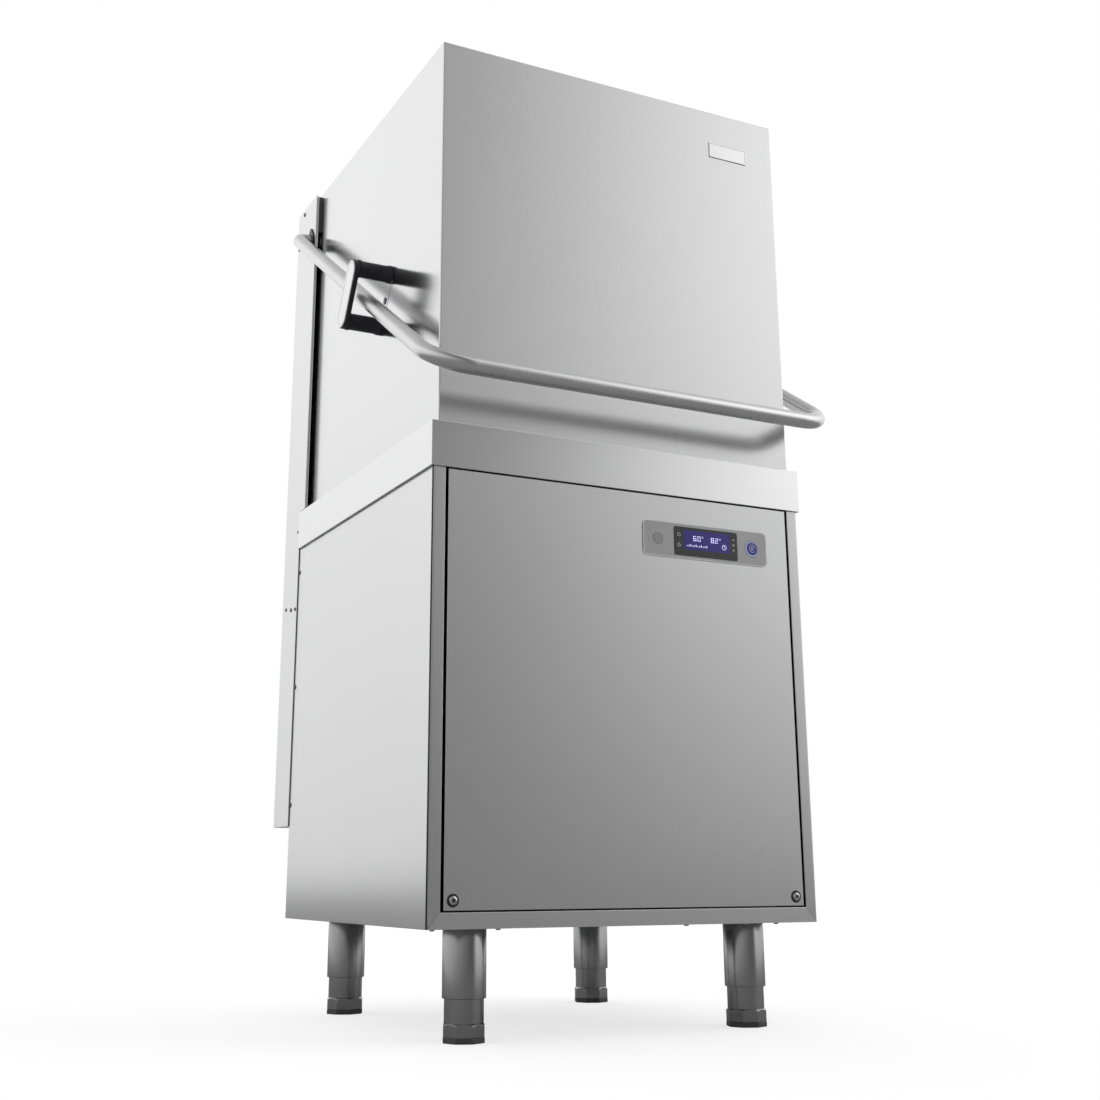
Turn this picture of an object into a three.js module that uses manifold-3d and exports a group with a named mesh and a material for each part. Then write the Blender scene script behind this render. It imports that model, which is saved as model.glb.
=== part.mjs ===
// Hood-type pass-through dishwasher for commercial kitchens.
// Millimetres. +X is the machine's right seen from the front, +Y is its back, +Z is up.
// The origin is on the floor under the centre of the cabinet.
import * as THREE from 'three';
import { mergeVertices } from 'three/addons/utils/BufferGeometryUtils.js';
import Module from 'manifold-3d';

const wasm = await Module();
wasm.setup();

// ---------------------------------------------------------------- driving dimensions

const sheet = 1.5; // steel sheet of the cabinet, hood and column
const seam = 0.3; // gap between pieces that are cut to each other
const sides = [-1, 1]; // left and right
const sideName = { '-1': 'left', 1: 'right' };

const cabinet = { half: 313.5, front: -304, back: 304, bottom: 147, top: 772.7 };
const frontEdge = { side: 19.3, bottom: 21.5, fold: 4, lip: 14 }; // front frame: widths and depths
const panelGap = { side: 4.4, bottom: 2.3, top: 1.7 }; // shadow gap round the front panel
const rim = { half: 317.5, front: -307, back: 304, bottom: 773, top: 840 };
const rimInside = { half: 308, front: -300.8, back: 296, deck: 775 };
const hood = { half: 304.6, front: -298, back: 291, bottom: 800, top: 1454 };
const column = { half: 315.5, front: 279, lowFront: 304.3, back: 386, bottom: 295, top: 1450, step: 842 };

const pivot = { y: 303.5, z: 1364 }; // the handle turns about this line, along X
const handle = { radius: 12.5, wall: 1.5, x: 342, frontY: -369, frontZ: 904.5, frontBend: 60, rearBend: 23 };
const lever = { inner: 306.5, outer: 311.5, length: 70, angle: 32 };
const bush = { inner: 312.2, outer: 318, sleeve: 15.5, flange: 17.5, ear: 5, earPlace: 21.5, play: 0.4 };
const spring = { x: 288, radius: 10, wire: 1.8, turns: 8, anchorZ: 890, pin: 4, hook: 7 };

const guide = { y: -71.5, z: 1108.5, tilt: 30, spacing: 85, post: 14.5, base: 308, end: 363 };
const guideCap = { outer: 372, width: 42, length: 112 };
const guidePin = 6;

const centre = { x: 0, y: -5 }; // axis of the wash arms
const legPlaces = { back: 239, front: -234, x: 228 };
const leg = { radius: 30, bore: 27, bottom: 56, stud: 8 };
const foot = { radius: 26.6, top: 112, baseCorners: 8, baseRadius: 29.8, baseTop: 20, shoulder: 27.4 };

const fascia = { x: [27, 251], z: [677, 731.5], radius: 8, front: -305.2 };
const display = { x: [81.6, 196.2], z: [682, 726], radius: 3 };
const powerButton = { x: 53.2, z: 704.8, radius: 8.6 };
const startButton = { x: 224, z: 703.8, radius: 12.8 };
const buttonPlay = 0.4; // gap round each button in the control strip
const panelScrew = { x: 276.4, z: 183.5, head: 7.5, shank: 3 };
const badge = { x: [177.7, 251.3], z: [1371, 1398], thickness: 1.5 };

const tank = { half: 256, front: -252, back: 238, bottom: 598, corner: 30 };
const basket = { x: -150, y: -5, radius: 58 };
const riser = { x: 0, y: 275, radius: 14, tee: 550, top: 1345 };
const pump = { y: 150, z: 250, radius: 80, left: -20, right: 50, outletY: 200, outletTop: 340, motor: 68 };
const suction = { x: -95, radius: 20 };
const boiler = { x: -205, y: 100, radius: 75, bottom: 175, top: 500 };
const drainPump = { x: -150, y: -5, z: 290 };
const heater = { front: -60, back: 50, z: 618, radius: 5 };
const drainExit = { x: -240, z: 230, radius: 10 };
const inlet = { x: -150, z: 220, radius: 13 };
const rail = { web: 262, front: 296, back: 324, lip: 281, bottom: 850, top: 1440, thickness: 2, flange: 20 };

// ---------------------------------------------------------------- geometry helpers

function toSolid(geometry) {
  const bare = geometry.clone();
  bare.deleteAttribute('normal');
  bare.deleteAttribute('uv');
  const merged = mergeVertices(bare);
  return new wasm.Manifold(new wasm.Mesh({
    numProp: 3,
    vertProperties: merged.attributes.position.array,
    triVerts: new Uint32Array(merged.index.array),
  }));
}

function toGeometry(solid) {
  const mesh = solid.getMesh();
  const geometry = new THREE.BufferGeometry();
  geometry.setAttribute('position', new THREE.BufferAttribute(mesh.vertProperties, 3));
  geometry.setIndex(new THREE.BufferAttribute(mesh.triVerts, 1));
  return geometry;
}

function join(...pieces) {
  return toGeometry(pieces.map(toSolid).reduce((sum, piece) => sum.add(piece)));
}

function cut(body, ...tools) {
  return toGeometry(tools.map(toSolid).reduce((rest, tool) => rest.subtract(tool), toSolid(body)));
}

// A block between two values on each axis, in either order.
function block([x0, x1], [y0, y1], [z0, z1]) {
  const geometry = new THREE.BoxGeometry(Math.abs(x1 - x0), Math.abs(y1 - y0), Math.abs(z1 - z0));
  return geometry.translate((x0 + x1) / 2, (y0 + y1) / 2, (z0 + z1) / 2);
}

// A round bar, or a cone when the end radius differs.
function rod(from, to, radius, segments = 12, endRadius = radius) {
  const along = new THREE.Vector3(...to).sub(new THREE.Vector3(...from));
  const geometry = new THREE.CylinderGeometry(endRadius, radius, along.length(), segments);
  geometry.translate(0, along.length() / 2, 0);
  const turn = new THREE.Quaternion().setFromUnitVectors(new THREE.Vector3(0, 1, 0), along.normalize());
  return geometry.applyQuaternion(turn).translate(...from);
}

// A body of revolution about Z. The profile runs up the outside: [radius, height] pairs.
function turned(profile, segments = 16) {
  const points = profile.map(([radius, height]) => new THREE.Vector2(radius, height));
  return new THREE.LatheGeometry(points, segments).rotateX(Math.PI / 2);
}

// A flat outline given in XY, pushed along Z; in XZ, pushed along Y; or in YZ, pushed along X.
function pushed(shape, axis, from, to, curveSegments = 3) {
  const [low, high] = [Math.min(from, to), Math.max(from, to)];
  const settings = { depth: high - low, bevelEnabled: false, curveSegments };
  const geometry = new THREE.ExtrudeGeometry(shape, settings);
  const unit = {
    x: new THREE.Vector3(1, 0, 0),
    y: new THREE.Vector3(0, 1, 0),
    z: new THREE.Vector3(0, 0, 1),
  };
  const placement = new THREE.Matrix4();
  if (axis === 'z') return geometry.translate(0, 0, low);
  if (axis === 'y') {
    placement.makeBasis(unit.x, unit.z, unit.y.negate());
    return geometry.applyMatrix4(placement).translate(0, high, 0);
  }
  placement.makeBasis(unit.y, unit.z, unit.x);
  return geometry.applyMatrix4(placement).translate(low, 0, 0);
}

function polygon(points) {
  return new THREE.Shape(points.map(([x, y]) => new THREE.Vector2(x, y)));
}

function circle(radius, corners) {
  const steps = Array.from({ length: corners }, (_, i) => (2 * Math.PI * i) / corners);
  return steps.map((angle) => [radius * Math.cos(angle), radius * Math.sin(angle)]);
}

function roundedRectangle([x0, x1], [y0, y1], radius) {
  const shape = new THREE.Shape();
  shape.absarc(x1 - radius, y0 + radius, radius, -Math.PI / 2, 0);
  shape.absarc(x1 - radius, y1 - radius, radius, 0, Math.PI / 2);
  shape.absarc(x0 + radius, y1 - radius, radius, Math.PI / 2, Math.PI);
  shape.absarc(x0 + radius, y0 + radius, radius, Math.PI, 1.5 * Math.PI);
  return shape;
}

// Straight runs joined by round bends. It is sampled only at the ends and along the bends.
class BentPath extends THREE.Curve {
  constructor(corners, bendRadius, bendSteps) {
    super();
    const points = corners.map((corner) => new THREE.Vector3(...corner));
    const radii = Array.isArray(bendRadius) ? bendRadius : points.map(() => bendRadius);
    const last = points.length - 1;
    const firstWay = points[1].clone().sub(points[0]).normalize();
    this.stations = [{ point: points[0], tangent: firstWay }];
    for (let i = 1; i < last; i += 1) {
      const before = points[i].clone().sub(points[i - 1]).normalize();
      const after = points[i + 1].clone().sub(points[i]).normalize();
      const turn = before.angleTo(after);
      const inward = after.clone().sub(before).normalize();
      const bendCentre = points[i].clone().addScaledVector(inward, radii[i] / Math.cos(turn / 2));
      const outward = new THREE.Vector3().crossVectors(before, after).normalize();
      const spoke = new THREE.Vector3().crossVectors(before, outward).multiplyScalar(radii[i]);
      for (let step = 0; step <= bendSteps; step += 1) {
        const angle = (turn * step) / bendSteps;
        const point = spoke.clone().applyAxisAngle(outward, angle).add(bendCentre);
        this.stations.push({ point, tangent: before.clone().applyAxisAngle(outward, angle) });
      }
    }
    const lastWay = points[last].clone().sub(points[last - 1]).normalize();
    this.stations.push({ point: points[last], tangent: lastWay });
    this.runs = this.stations.length - 1;
  }

  getPointAt(u) {
    return this.stations[Math.round(u * this.runs)].point.clone();
  }

  getTangentAt(u) {
    return this.stations[Math.round(u * this.runs)].tangent.clone();
  }
}

// A bar or, with a wall, a hollow tube along straight runs and bends.
function tube(corners, radius, bendRadius, { wall = 0, corners: ring = 8, bendSteps = 3 } = {}) {
  const path = new BentPath(corners, bendRadius, bendSteps);
  const section = polygon(circle(radius, ring));
  if (wall > 0) section.holes.push(polygon(circle(radius - wall, ring)));
  return new THREE.ExtrudeGeometry(section, { steps: path.runs, extrudePath: path });
}

// A coil of wire about Z.
class CoilPath extends THREE.Curve {
  constructor(radius, turns, bottom, top) {
    super();
    Object.assign(this, { radius, turns, bottom, top });
  }

  getPoint(t) {
    const angle = 2 * Math.PI * this.turns * t;
    const height = this.bottom + (this.top - this.bottom) * t;
    return new THREE.Vector3(this.radius * Math.cos(angle), this.radius * Math.sin(angle), height);
  }
}

// ---------------------------------------------------------------- materials

const finish = {
  brushed: () => new THREE.MeshStandardMaterial({ color: 0xc9cbcd, metalness: 1, roughness: 0.32 }),
  satin: () => new THREE.MeshStandardMaterial({ color: 0xb9bbbd, metalness: 1, roughness: 0.25 }),
  zinc: () => new THREE.MeshStandardMaterial({ color: 0x9b9c9a, metalness: 0.9, roughness: 0.5 }),
  black: () => new THREE.MeshStandardMaterial({ color: 0x25252c, metalness: 0, roughness: 0.4 }),
  rubber: () => new THREE.MeshStandardMaterial({ color: 0x2b2b2b, metalness: 0, roughness: 0.8 }),
  grey: () => new THREE.MeshStandardMaterial({ color: 0x9ea0a2, metalness: 0, roughness: 0.45 }),
  blue: () => new THREE.MeshStandardMaterial({ color: 0x3b3fa8, metalness: 0, roughness: 0.35 }),
  screen: () => new THREE.MeshStandardMaterial({ color: 0x2a2c34, metalness: 0, roughness: 0.15 }),
  plastic: () => new THREE.MeshStandardMaterial({ color: 0xd9d9d4, metalness: 0, roughness: 0.5 }),
  copper: () => new THREE.MeshStandardMaterial({ color: 0x8a5a3c, metalness: 1, roughness: 0.4 }),
};

const machine = new THREE.Group();

function add(name, geometry, material, parent = machine) {
  const mesh = new THREE.Mesh(geometry, material);
  mesh.name = name;
  parent.add(mesh);
}

// ---------------------------------------------------------------- cabinet

function baseFrame() {
  const half = cabinet.half - sheet - seam;
  const front = cabinet.front + frontEdge.fold + sheet + 2 * seam;
  const back = cabinet.back - 2 * sheet - 2 * seam;
  const floor = cabinet.bottom + 2;
  const pan = cut(
    block([-half, half], [front, back], [cabinet.bottom, 165]),
    block([-half + sheet, half - sheet], [front + sheet, back - sheet], [floor, 170]),
  );
  const legPads = [];
  const studHoles = [];
  for (const side of sides) {
    for (const y of [legPlaces.front, legPlaces.back]) {
      const x = side * legPlaces.x;
      legPads.push(block([x - 40, x + 40], [y - 40, y + 40], [floor - 1, floor + 6]));
      studHoles.push(rod([x, y, 140], [x, y, 170], leg.stud + seam));
    }
  }
  const cradle = block([90, 210], [pump.y - 50, pump.y + 50], [floor - 1, pump.z - 45]);
  const boilerSeat = turned([[62, floor - 1], [70, floor - 1], [70, boiler.bottom], [62, boiler.bottom],
    [62, floor - 1]]).translate(boiler.x, boiler.y, 0);
  const motorBed = rod([60, pump.y, pump.z], [250, pump.y, pump.z], pump.motor + 2, 24);
  const serviceOpening = block([-60, 120], [-220, -60], [140, 160]);
  return cut(join(pan, ...legPads, cradle, boilerSeat), motorBed, serviceOpening, ...studHoles);
}

// The sheet turns inward at the front and at the back.
function sidePanel(side) {
  const outer = side * cabinet.half;
  const inner = side * (cabinet.half - sheet);
  const fold = side * (cabinet.half - 16.5);
  const front = cabinet.front + frontEdge.fold + seam;
  return pushed(polygon([
    [outer, front], [outer, cabinet.back], [fold, cabinet.back], [fold, cabinet.back - sheet],
    [inner, cabinet.back - sheet], [inner, front + sheet], [fold, front + sheet], [fold, front],
  ]), 'z', cabinet.bottom, cabinet.top);
}

function backPanel() {
  const half = cabinet.half - sheet - seam;
  const outer = cabinet.back - sheet - seam;
  return cut(
    block([-half, half], [outer - sheet, outer], [cabinet.bottom, cabinet.top]),
    rod([drainExit.x, 280, drainExit.z], [drainExit.x, 320, drainExit.z], drainExit.radius + 4),
    rod([inlet.x, 280, inlet.z], [inlet.x, 320, inlet.z], inlet.radius + 1),
  );
}

// A flat frame on three sides of the front panel, with a flange folded back at each side
// and a lip turned inward round its opening.
function frontFrame() {
  const opening = { half: cabinet.half - frontEdge.side, bottom: cabinet.bottom + frontEdge.bottom };
  const above = cabinet.top + 10;
  const height = [cabinet.bottom, cabinet.top];
  const lip = block([-opening.half - sheet, opening.half + sheet],
    [cabinet.front, cabinet.front + frontEdge.lip], [opening.bottom - sheet, cabinet.top]);
  const folded = cut(
    block([-cabinet.half, cabinet.half], [cabinet.front, cabinet.front + frontEdge.fold], height),
    block([-cabinet.half + sheet, cabinet.half - sheet], [cabinet.front + sheet, -290],
      [cabinet.bottom - 5, above]),
  );
  return cut(
    join(folded, lip),
    block([-opening.half, opening.half], [-320, -280], [opening.bottom, above]),
  );
}

const frontPanelEdge = {
  half: cabinet.half - frontEdge.side - panelGap.side,
  bottom: cabinet.bottom + frontEdge.bottom + panelGap.bottom,
  top: cabinet.top - panelGap.top,
  back: cabinet.front + 18,
};

function frontPanel() {
  const edge = frontPanelEdge;
  const through = (place, radius, segments) => (
    rod([place.x, -310, place.z], [place.x, -290, place.z], radius, segments));
  const screwHoles = sides.map((side) => (
    through({ x: side * panelScrew.x, z: panelScrew.z }, panelScrew.shank + seam, 12)));
  return cut(
    block([-edge.half, edge.half], [cabinet.front, edge.back], [edge.bottom, edge.top]),
    block([-edge.half + sheet, edge.half - sheet], [cabinet.front + sheet, edge.back + 5],
      [edge.bottom + sheet, edge.top - sheet]),
    block([display.x[0] + 8, display.x[1] - 8], [-310, -290], [display.z[0] + 8, display.z[1] - 8]),
    through(powerButton, powerButton.radius + 0.5, 24),
    through(startButton, startButton.radius + 0.5, 24),
    ...screwHoles,
  );
}

// A domed head with a hexagon socket, and a shank through the panel.
function screwOfPanel() {
  const head = turned([[0, -12], [panelScrew.shank, -12], [panelScrew.shank, 0], [panelScrew.head, 0],
    [panelScrew.head, 1.4], [panelScrew.head - 2, 2.4], [0, 2.4]]);
  return cut(head, rod([0, 0, 0.8], [0, 0, 5], 3, 6)).rotateX(Math.PI / 2);
}

// ---------------------------------------------------------------- controls

function controlFascia() {
  const outline = roundedRectangle(fascia.x, fascia.z, fascia.radius);
  const window = roundedRectangle([display.x[0] - seam, display.x[1] + seam],
    [display.z[0] - seam, display.z[1] + seam], display.radius);
  const buttonHoles = [powerButton, startButton].map(({ x, z, radius }) => (
    rod([x, -310, z], [x, -300, z], radius + buttonPlay, 24)));
  return cut(
    pushed(outline, 'y', fascia.front, cabinet.front, 4),
    pushed(window, 'y', -310, -300),
    ...buttonHoles,
  );
}

function displayWindow() {
  const outline = roundedRectangle(display.x, display.z, display.radius);
  return pushed(outline, 'y', fascia.front - 0.3, cabinet.front);
}

// A round cap with a wider collar behind the panel that keeps it in.
function pushButton(button) {
  const collar = cabinet.front + sheet + seam;
  return join(
    rod([button.x, fascia.front - 0.6, button.z], [button.x, -298, button.z], button.radius, 24),
    rod([button.x, collar, button.z], [button.x, collar + 1.5, button.z], button.radius + 2, 24),
  );
}

function controlBox() {
  return cut(
    block([20, 262], [-295.5, -256], [655, 760]),
    block([20 + sheet, 262 - sheet], [-295.5 + sheet, -250], [655 + sheet, 760 - sheet]),
  );
}

// ---------------------------------------------------------------- wash tank

function tankRim() {
  return cut(
    block([-rim.half, rim.half], [rim.front, rim.back], [rim.bottom, rim.top]),
    block([-rimInside.half, rimInside.half], [rimInside.front, rimInside.back], [rimInside.deck, 850]),
    block([-tank.half + 1, tank.half - 1], [tank.front + 2, tank.back - 3], [760, 790]),
    rod([riser.x, riser.y, 760], [riser.x, riser.y, 790], riser.radius + 0.6, 24),
  );
}

function washTank() {
  const ledge = { bottom: 747, top: 750, width: 9 };
  const inside = tank.half - sheet;
  const insideY = [tank.front + sheet, tank.back - sheet];
  const ledgeY = [insideY[0] + ledge.width, insideY[1] - ledge.width];
  const tub = pushed(roundedRectangle([-tank.half, tank.half], [tank.front, tank.back], tank.corner), 'z',
    tank.bottom, cabinet.top);
  const collar = block([-290, 290], [-285, 250], [cabinet.top - sheet, cabinet.top]);
  const space = (bottom, top) => (
    pushed(roundedRectangle([-inside, inside], insideY, tank.corner), 'z', bottom, top));
  const openingOutline = roundedRectangle([-inside + ledge.width, inside - ledge.width], ledgeY, 20);
  const opening = pushed(openingOutline, 'z', ledge.bottom - 7, ledge.top + 5);
  const heaterHole = (y) => rod([240, y, heater.z], [270, y, heater.z], heater.radius + 1, 12);
  const floorHole = (x, y, radius) => rod([x, y, 590], [x, y, 610], radius);
  return cut(
    join(tub, collar),
    space(tank.bottom + sheet, ledge.bottom),
    opening,
    space(ledge.top, cabinet.top + 5),
    heaterHole(heater.front),
    heaterHole(heater.back),
    floorHole(centre.x, centre.y, 22.6),
    floorHole(basket.x, basket.y, 16),
    floorHole(suction.x, pump.y, suction.radius - 3),
  );
}

// A slotted tray over the tank, with openings for the basket and the spindle.
function surfaceStrainer() {
  const [bottom, top] = [750, 751.2];
  const slots = [];
  for (let x = -180; x <= 180; x += 120) {
    for (let y = -195; y <= 200; y += 65) {
      const nearBasket = Math.hypot(x - basket.x, y - basket.y) < basket.radius + 30;
      const nearSpindle = Math.hypot(x - centre.x, y - centre.y) < 50;
      if (!nearBasket && !nearSpindle) slots.push(block([x - 45, x + 45], [y - 3, y + 3], [745, 755]));
    }
  }
  return cut(
    pushed(roundedRectangle([-252, 252], [-248, 234], tank.corner - 1), 'z', bottom, top),
    rod([basket.x, basket.y, 745], [basket.x, basket.y, 755], basket.radius + 1, 24),
    rod([centre.x, centre.y, 745], [centre.x, centre.y, 755], 24),
    ...slots,
  );
}

function strainerBasket() {
  const wall = 1.2;
  return turned([
    [0, 652], [basket.radius - 8 - wall, 652], [basket.radius - wall, 753],
    [basket.radius + 7, 753], [basket.radius + 7, 751.5], [basket.radius + 0.2, 751.5],
    [basket.radius - 8, 650], [0, 650],
  ].reverse(), 16).translate(basket.x, basket.y, 0);
}

// Two angle rails for the rack, front and back, on four posts, tied together by two cross bars.
function rackTrack() {
  const front = { upright: -262, foot: -275 };
  const back = { upright: 252, foot: 254 };
  const railOf = (upright, inward) => [
    block([-292, 292], [upright, upright + inward * 27], [843, 845]),
    block([-292, 292], [upright, upright + inward * sheet], [843, 870]),
  ];
  const post = (x, y0, y1) => block([x, x + Math.sign(x) * 20], [y0, y1], [rimInside.deck, 844]);
  const bars = sides.map((side) => (
    block([side * 236, side * 244], [front.upright + 4, back.upright - 4], [835, 843.5])));
  const posts = sides.flatMap((side) => [
    post(side * 265, front.foot, front.upright + 6),
    post(side * 265, back.upright - 6, back.foot),
  ]);
  return join(...railOf(front.upright, 1), ...railOf(back.upright, -1), ...bars, ...posts);
}

// ---------------------------------------------------------------- wash and rinse arms

// A flat blade each way from a hub, with a row of jet slots on the face towards the rack.
function washArm(faceUp) {
  const [low, high] = [2, 16];
  const blade = pushed(roundedRectangle([-225, 225], [-19, 19], 18), 'z', low, high);
  const hub = turned([[0, 0], [26, 0], [26, 18], [0, 18]]);
  const bore = rod([0, 0, -5], [0, 0, 25], 9.4);
  const face = faceUp ? [high - 3, high + 2] : [low - 2, low + 3];
  const jets = [];
  for (const side of sides) {
    for (let along = 60; along < 215; along += 48) {
      jets.push(block([side * along - 2, side * along + 2], [-10, 10], face));
    }
  }
  return cut(join(blade, hub), bore, ...jets);
}

// A thin tube each way from a hub, with small jets towards the rack.
function rinseArm(faceUp) {
  const height = 8;
  const jetTip = faceUp ? height + 9 : height - 9;
  const jets = [];
  for (const side of sides) {
    for (let along = 60; along < 200; along += 60) {
      jets.push(rod([side * along, 0, height], [side * along, 0, jetTip], 4, 6, 2.5));
    }
  }
  const arms = rod([-215, 0, height], [215, 0, height], 6.5, 8);
  const hub = turned([[0, 0], [18, 0], [18, 16], [0, 16]]);
  return cut(join(arms, hub, ...jets), rod([0, 0, -5], [0, 0, 25], 9.4));
}

const lowerArm = { shoulder: 786, wash: 786.4, rinse: 805.2, cap: 822 };
const upperArm = { shoulder: 1322, wash: 1303.6, rinse: 1286.8, cap: 1286 };

// A feed elbow under the tank and a hollow post through its floor that carries the two lower arms.
function lowerSpindle() {
  const feed = tube([[0, 254.5, riser.tee], [0, centre.y, riser.tee], [0, centre.y, 594]], 14, 35);
  const post = turned([
    [0, 588], [30, 588], [30, tank.bottom - seam], [22, tank.bottom - seam], [22, 760],
    [16, lowerArm.shoulder], [9, lowerArm.shoulder], [9, lowerArm.cap], [15, lowerArm.cap],
    [13, lowerArm.cap + 10], [0, lowerArm.cap + 10],
  ], 12).translate(centre.x, centre.y, 0);
  return join(feed, post);
}

// Feeds both spindles: a tee under the tank, a pipe up behind the rear wall and forward over the rack.
function riserPipe() {
  const pipe = tube([[0, riser.y, 505], [0, riser.y, riser.top], [0, centre.y, riser.top]], riser.radius, 45);
  const tee = rod([0, riser.y, riser.tee - 22], [0, riser.y, riser.tee + 22], 18);
  const branch = rod([0, riser.y, riser.tee], [0, 254.8, riser.tee], 16);
  const spindle = turned([
    [0, upperArm.cap - 10], [13, upperArm.cap - 10], [15, upperArm.cap], [9, upperArm.cap],
    [9, upperArm.shoulder], [24, upperArm.shoulder], [24, riser.top + 20], [0, riser.top + 20],
  ], 12).translate(centre.x, centre.y, 0);
  return join(pipe, tee, branch, spindle);
}

function rearWall() {
  return cut(
    block([-301.5, 301.5], [256.5, 256.5 + sheet], [rimInside.deck, 1448]),
    block([-16, 16], [250, 265], [riser.top - 50, riser.top + 17]),
  );
}

// ---------------------------------------------------------------- pumps, heaters and hoses

function pumpVolute() {
  const bowl = rod([pump.left, pump.y, pump.z], [pump.right, pump.y, pump.z], pump.radius);
  const mouth = rod([pump.left - 25, pump.y, pump.z], [pump.left + 2, pump.y, pump.z], 24);
  const outlet = rod([15, pump.outletY, pump.z], [15, pump.outletY, pump.outletTop], 18);
  return cut(
    join(bowl, mouth, outlet),
    rod([pump.left + 6, pump.y, pump.z], [pump.right - 6, pump.y, pump.z], pump.radius - 8),
    rod([pump.left - 30, pump.y, pump.z], [pump.left + 8, pump.y, pump.z], 18),
    rod([15, pump.outletY, pump.z], [15, pump.outletY, pump.outletTop + 5], 13),
    rod([pump.right - 8, pump.y, pump.z], [pump.right + 5, pump.y, pump.z], 12),
  );
}

function pumpImpeller() {
  const disc = rod([8, 0, 0], [14, 0, 0], 62);
  const shaft = rod([8, 0, 0], [90, 0, 0], 8);
  const vanes = Array.from({ length: 6 }, (_, i) => (
    block([-8, 9], [14, 58], [-2, 2]).rotateX((i * Math.PI) / 3)));
  return join(disc, shaft, ...vanes);
}

function pumpMotor() {
  const start = pump.right + 1;
  const fins = [0, 1, 2].flatMap((i) => {
    const x = 22 + i * 50;
    return [[pump.motor - 5, x], [pump.motor - 5, x + 10], [pump.motor, x + 10], [pump.motor, x + 40]];
  });
  const body = turned([[0, 0], [pump.motor, 0], [pump.motor, 22], ...fins, [pump.motor, 180], [0, 180]]);
  body.rotateY(Math.PI / 2).translate(start, pump.y, pump.z);
  return cut(body, rod([start - 5, pump.y, pump.z], [100, pump.y, pump.z], 8.5));
}

function rinseBoiler() {
  const { radius, bottom, top } = boiler;
  return turned([
    [0, top - sheet], [radius - sheet, top - sheet], [radius - sheet, bottom + sheet], [30, bottom + sheet],
    [30, bottom], [radius, bottom], [radius, top], [0, top],
  ], 16).translate(boiler.x, boiler.y, 0);
}

function boilerHeater() {
  const bottom = boiler.bottom - 14;
  const loop = tube([[-10, 0, bottom], [-10, 0, 430], [10, 0, 430], [10, 0, bottom]], 4, 9.5, { corners: 8 });
  const plate = turned([[0, boiler.bottom - 8], [38, boiler.bottom - 8], [38, boiler.bottom - seam],
    [29, boiler.bottom - seam], [29, boiler.bottom + 4], [0, boiler.bottom + 4]], 20);
  return join(loop, plate).translate(boiler.x, boiler.y, 0);
}

function tankHeater() {
  const outer = tank.half + 12;
  const { front, back, z, radius } = heater;
  const loop = tube([[outer, front, z], [-190, front, z], [-190, back, z], [outer, back, z]], radius, 40,
    { corners: 8 });
  const plate = block([tank.half + seam, tank.half + 5], [front - 20, back + 20], [z - 16, z + 16]);
  return join(loop, plate);
}

// The sump neck, the pump bowl, its motor and the outlet.
function drainPumpBody() {
  const { x, y, z } = drainPump;
  return join(
    rod([x, y, z + 30], [x, y, tank.bottom - seam], 19),
    rod([x, y - 25, z], [x, y + 20, z], 42, 24),
    rod([x, y - 105, z], [x, y - 24, z], 28),
    rod([x - 25, y - 3, z - 26], [x - 62, y - 3, z - 26], drainExit.radius + 1, 12),
  );
}

function drainHose() {
  const startZ = drainPump.z - 26;
  const startY = drainPump.y - 3;
  return tube([
    [drainPump.x - 62.4, startY, startZ], [-297, startY, startZ], [-297, 235, drainExit.z],
    [drainExit.x, 235, drainExit.z], [drainExit.x, 345, drainExit.z],
  ], drainExit.radius, 25, { wall: 2.5 });
}

function inletValve() {
  const body = block([inlet.x - 20, inlet.x + 20], [240, 280], [200, 240]);
  const thread = rod([inlet.x, 275, inlet.z], [inlet.x, 322, inlet.z], inlet.radius, 20);
  const coil = rod([inlet.x, 260, 235], [inlet.x, 260, 285], 16);
  const outlet = rod([inlet.x, 245, inlet.z], [-168.5, 169.5, inlet.z], 7, 10);
  return cut(join(body, thread, coil, outlet), rod([inlet.x, 285, inlet.z], [inlet.x, 330, inlet.z], 9));
}

// Two hose pumps side by side on one bracket, for detergent and rinse aid.
function dosingPump() {
  const heads = [180, 240].map((x) => rod([x, -298, 270], [x, -275, 270], 24));
  const nipples = [170, 190, 230, 250].map((x) => rod([x, -288, 285], [x, -288, 312], 4, 8));
  return join(
    block([150, 270], [-278, -228], [230, 310]),
    block([150, 270], [-262, -258], [155, 231]),
    ...heads,
    ...nipples,
  );
}

// ---------------------------------------------------------------- column

function columnCover() {
  const holes = sides.map((side) => (
    rod([side * 300, pivot.y, pivot.z], [side * 330, pivot.y, pivot.z], bush.sleeve + seam, 24)));
  return cut(
    block([-column.half, column.half], [column.front, column.back], [column.bottom, column.top]),
    block([-column.half + sheet, column.half - sheet], [column.front - 5, column.back - sheet],
      [column.bottom + sheet, column.top - sheet]),
    block([-330, 330], [column.front - 5, column.lowFront], [column.bottom - 5, column.step]),
    block([-column.half + sheet, column.half - sheet], [column.front - 5, hood.back + 2], [1440, 1460]),
    ...holes,
  );
}

// Where the counterbalance spring hooks on to the lever.
function leverTip() {
  const angle = THREE.MathUtils.degToRad(lever.angle);
  return { y: pivot.y + lever.length * Math.cos(angle), z: pivot.z + lever.length * Math.sin(angle) };
}

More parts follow.
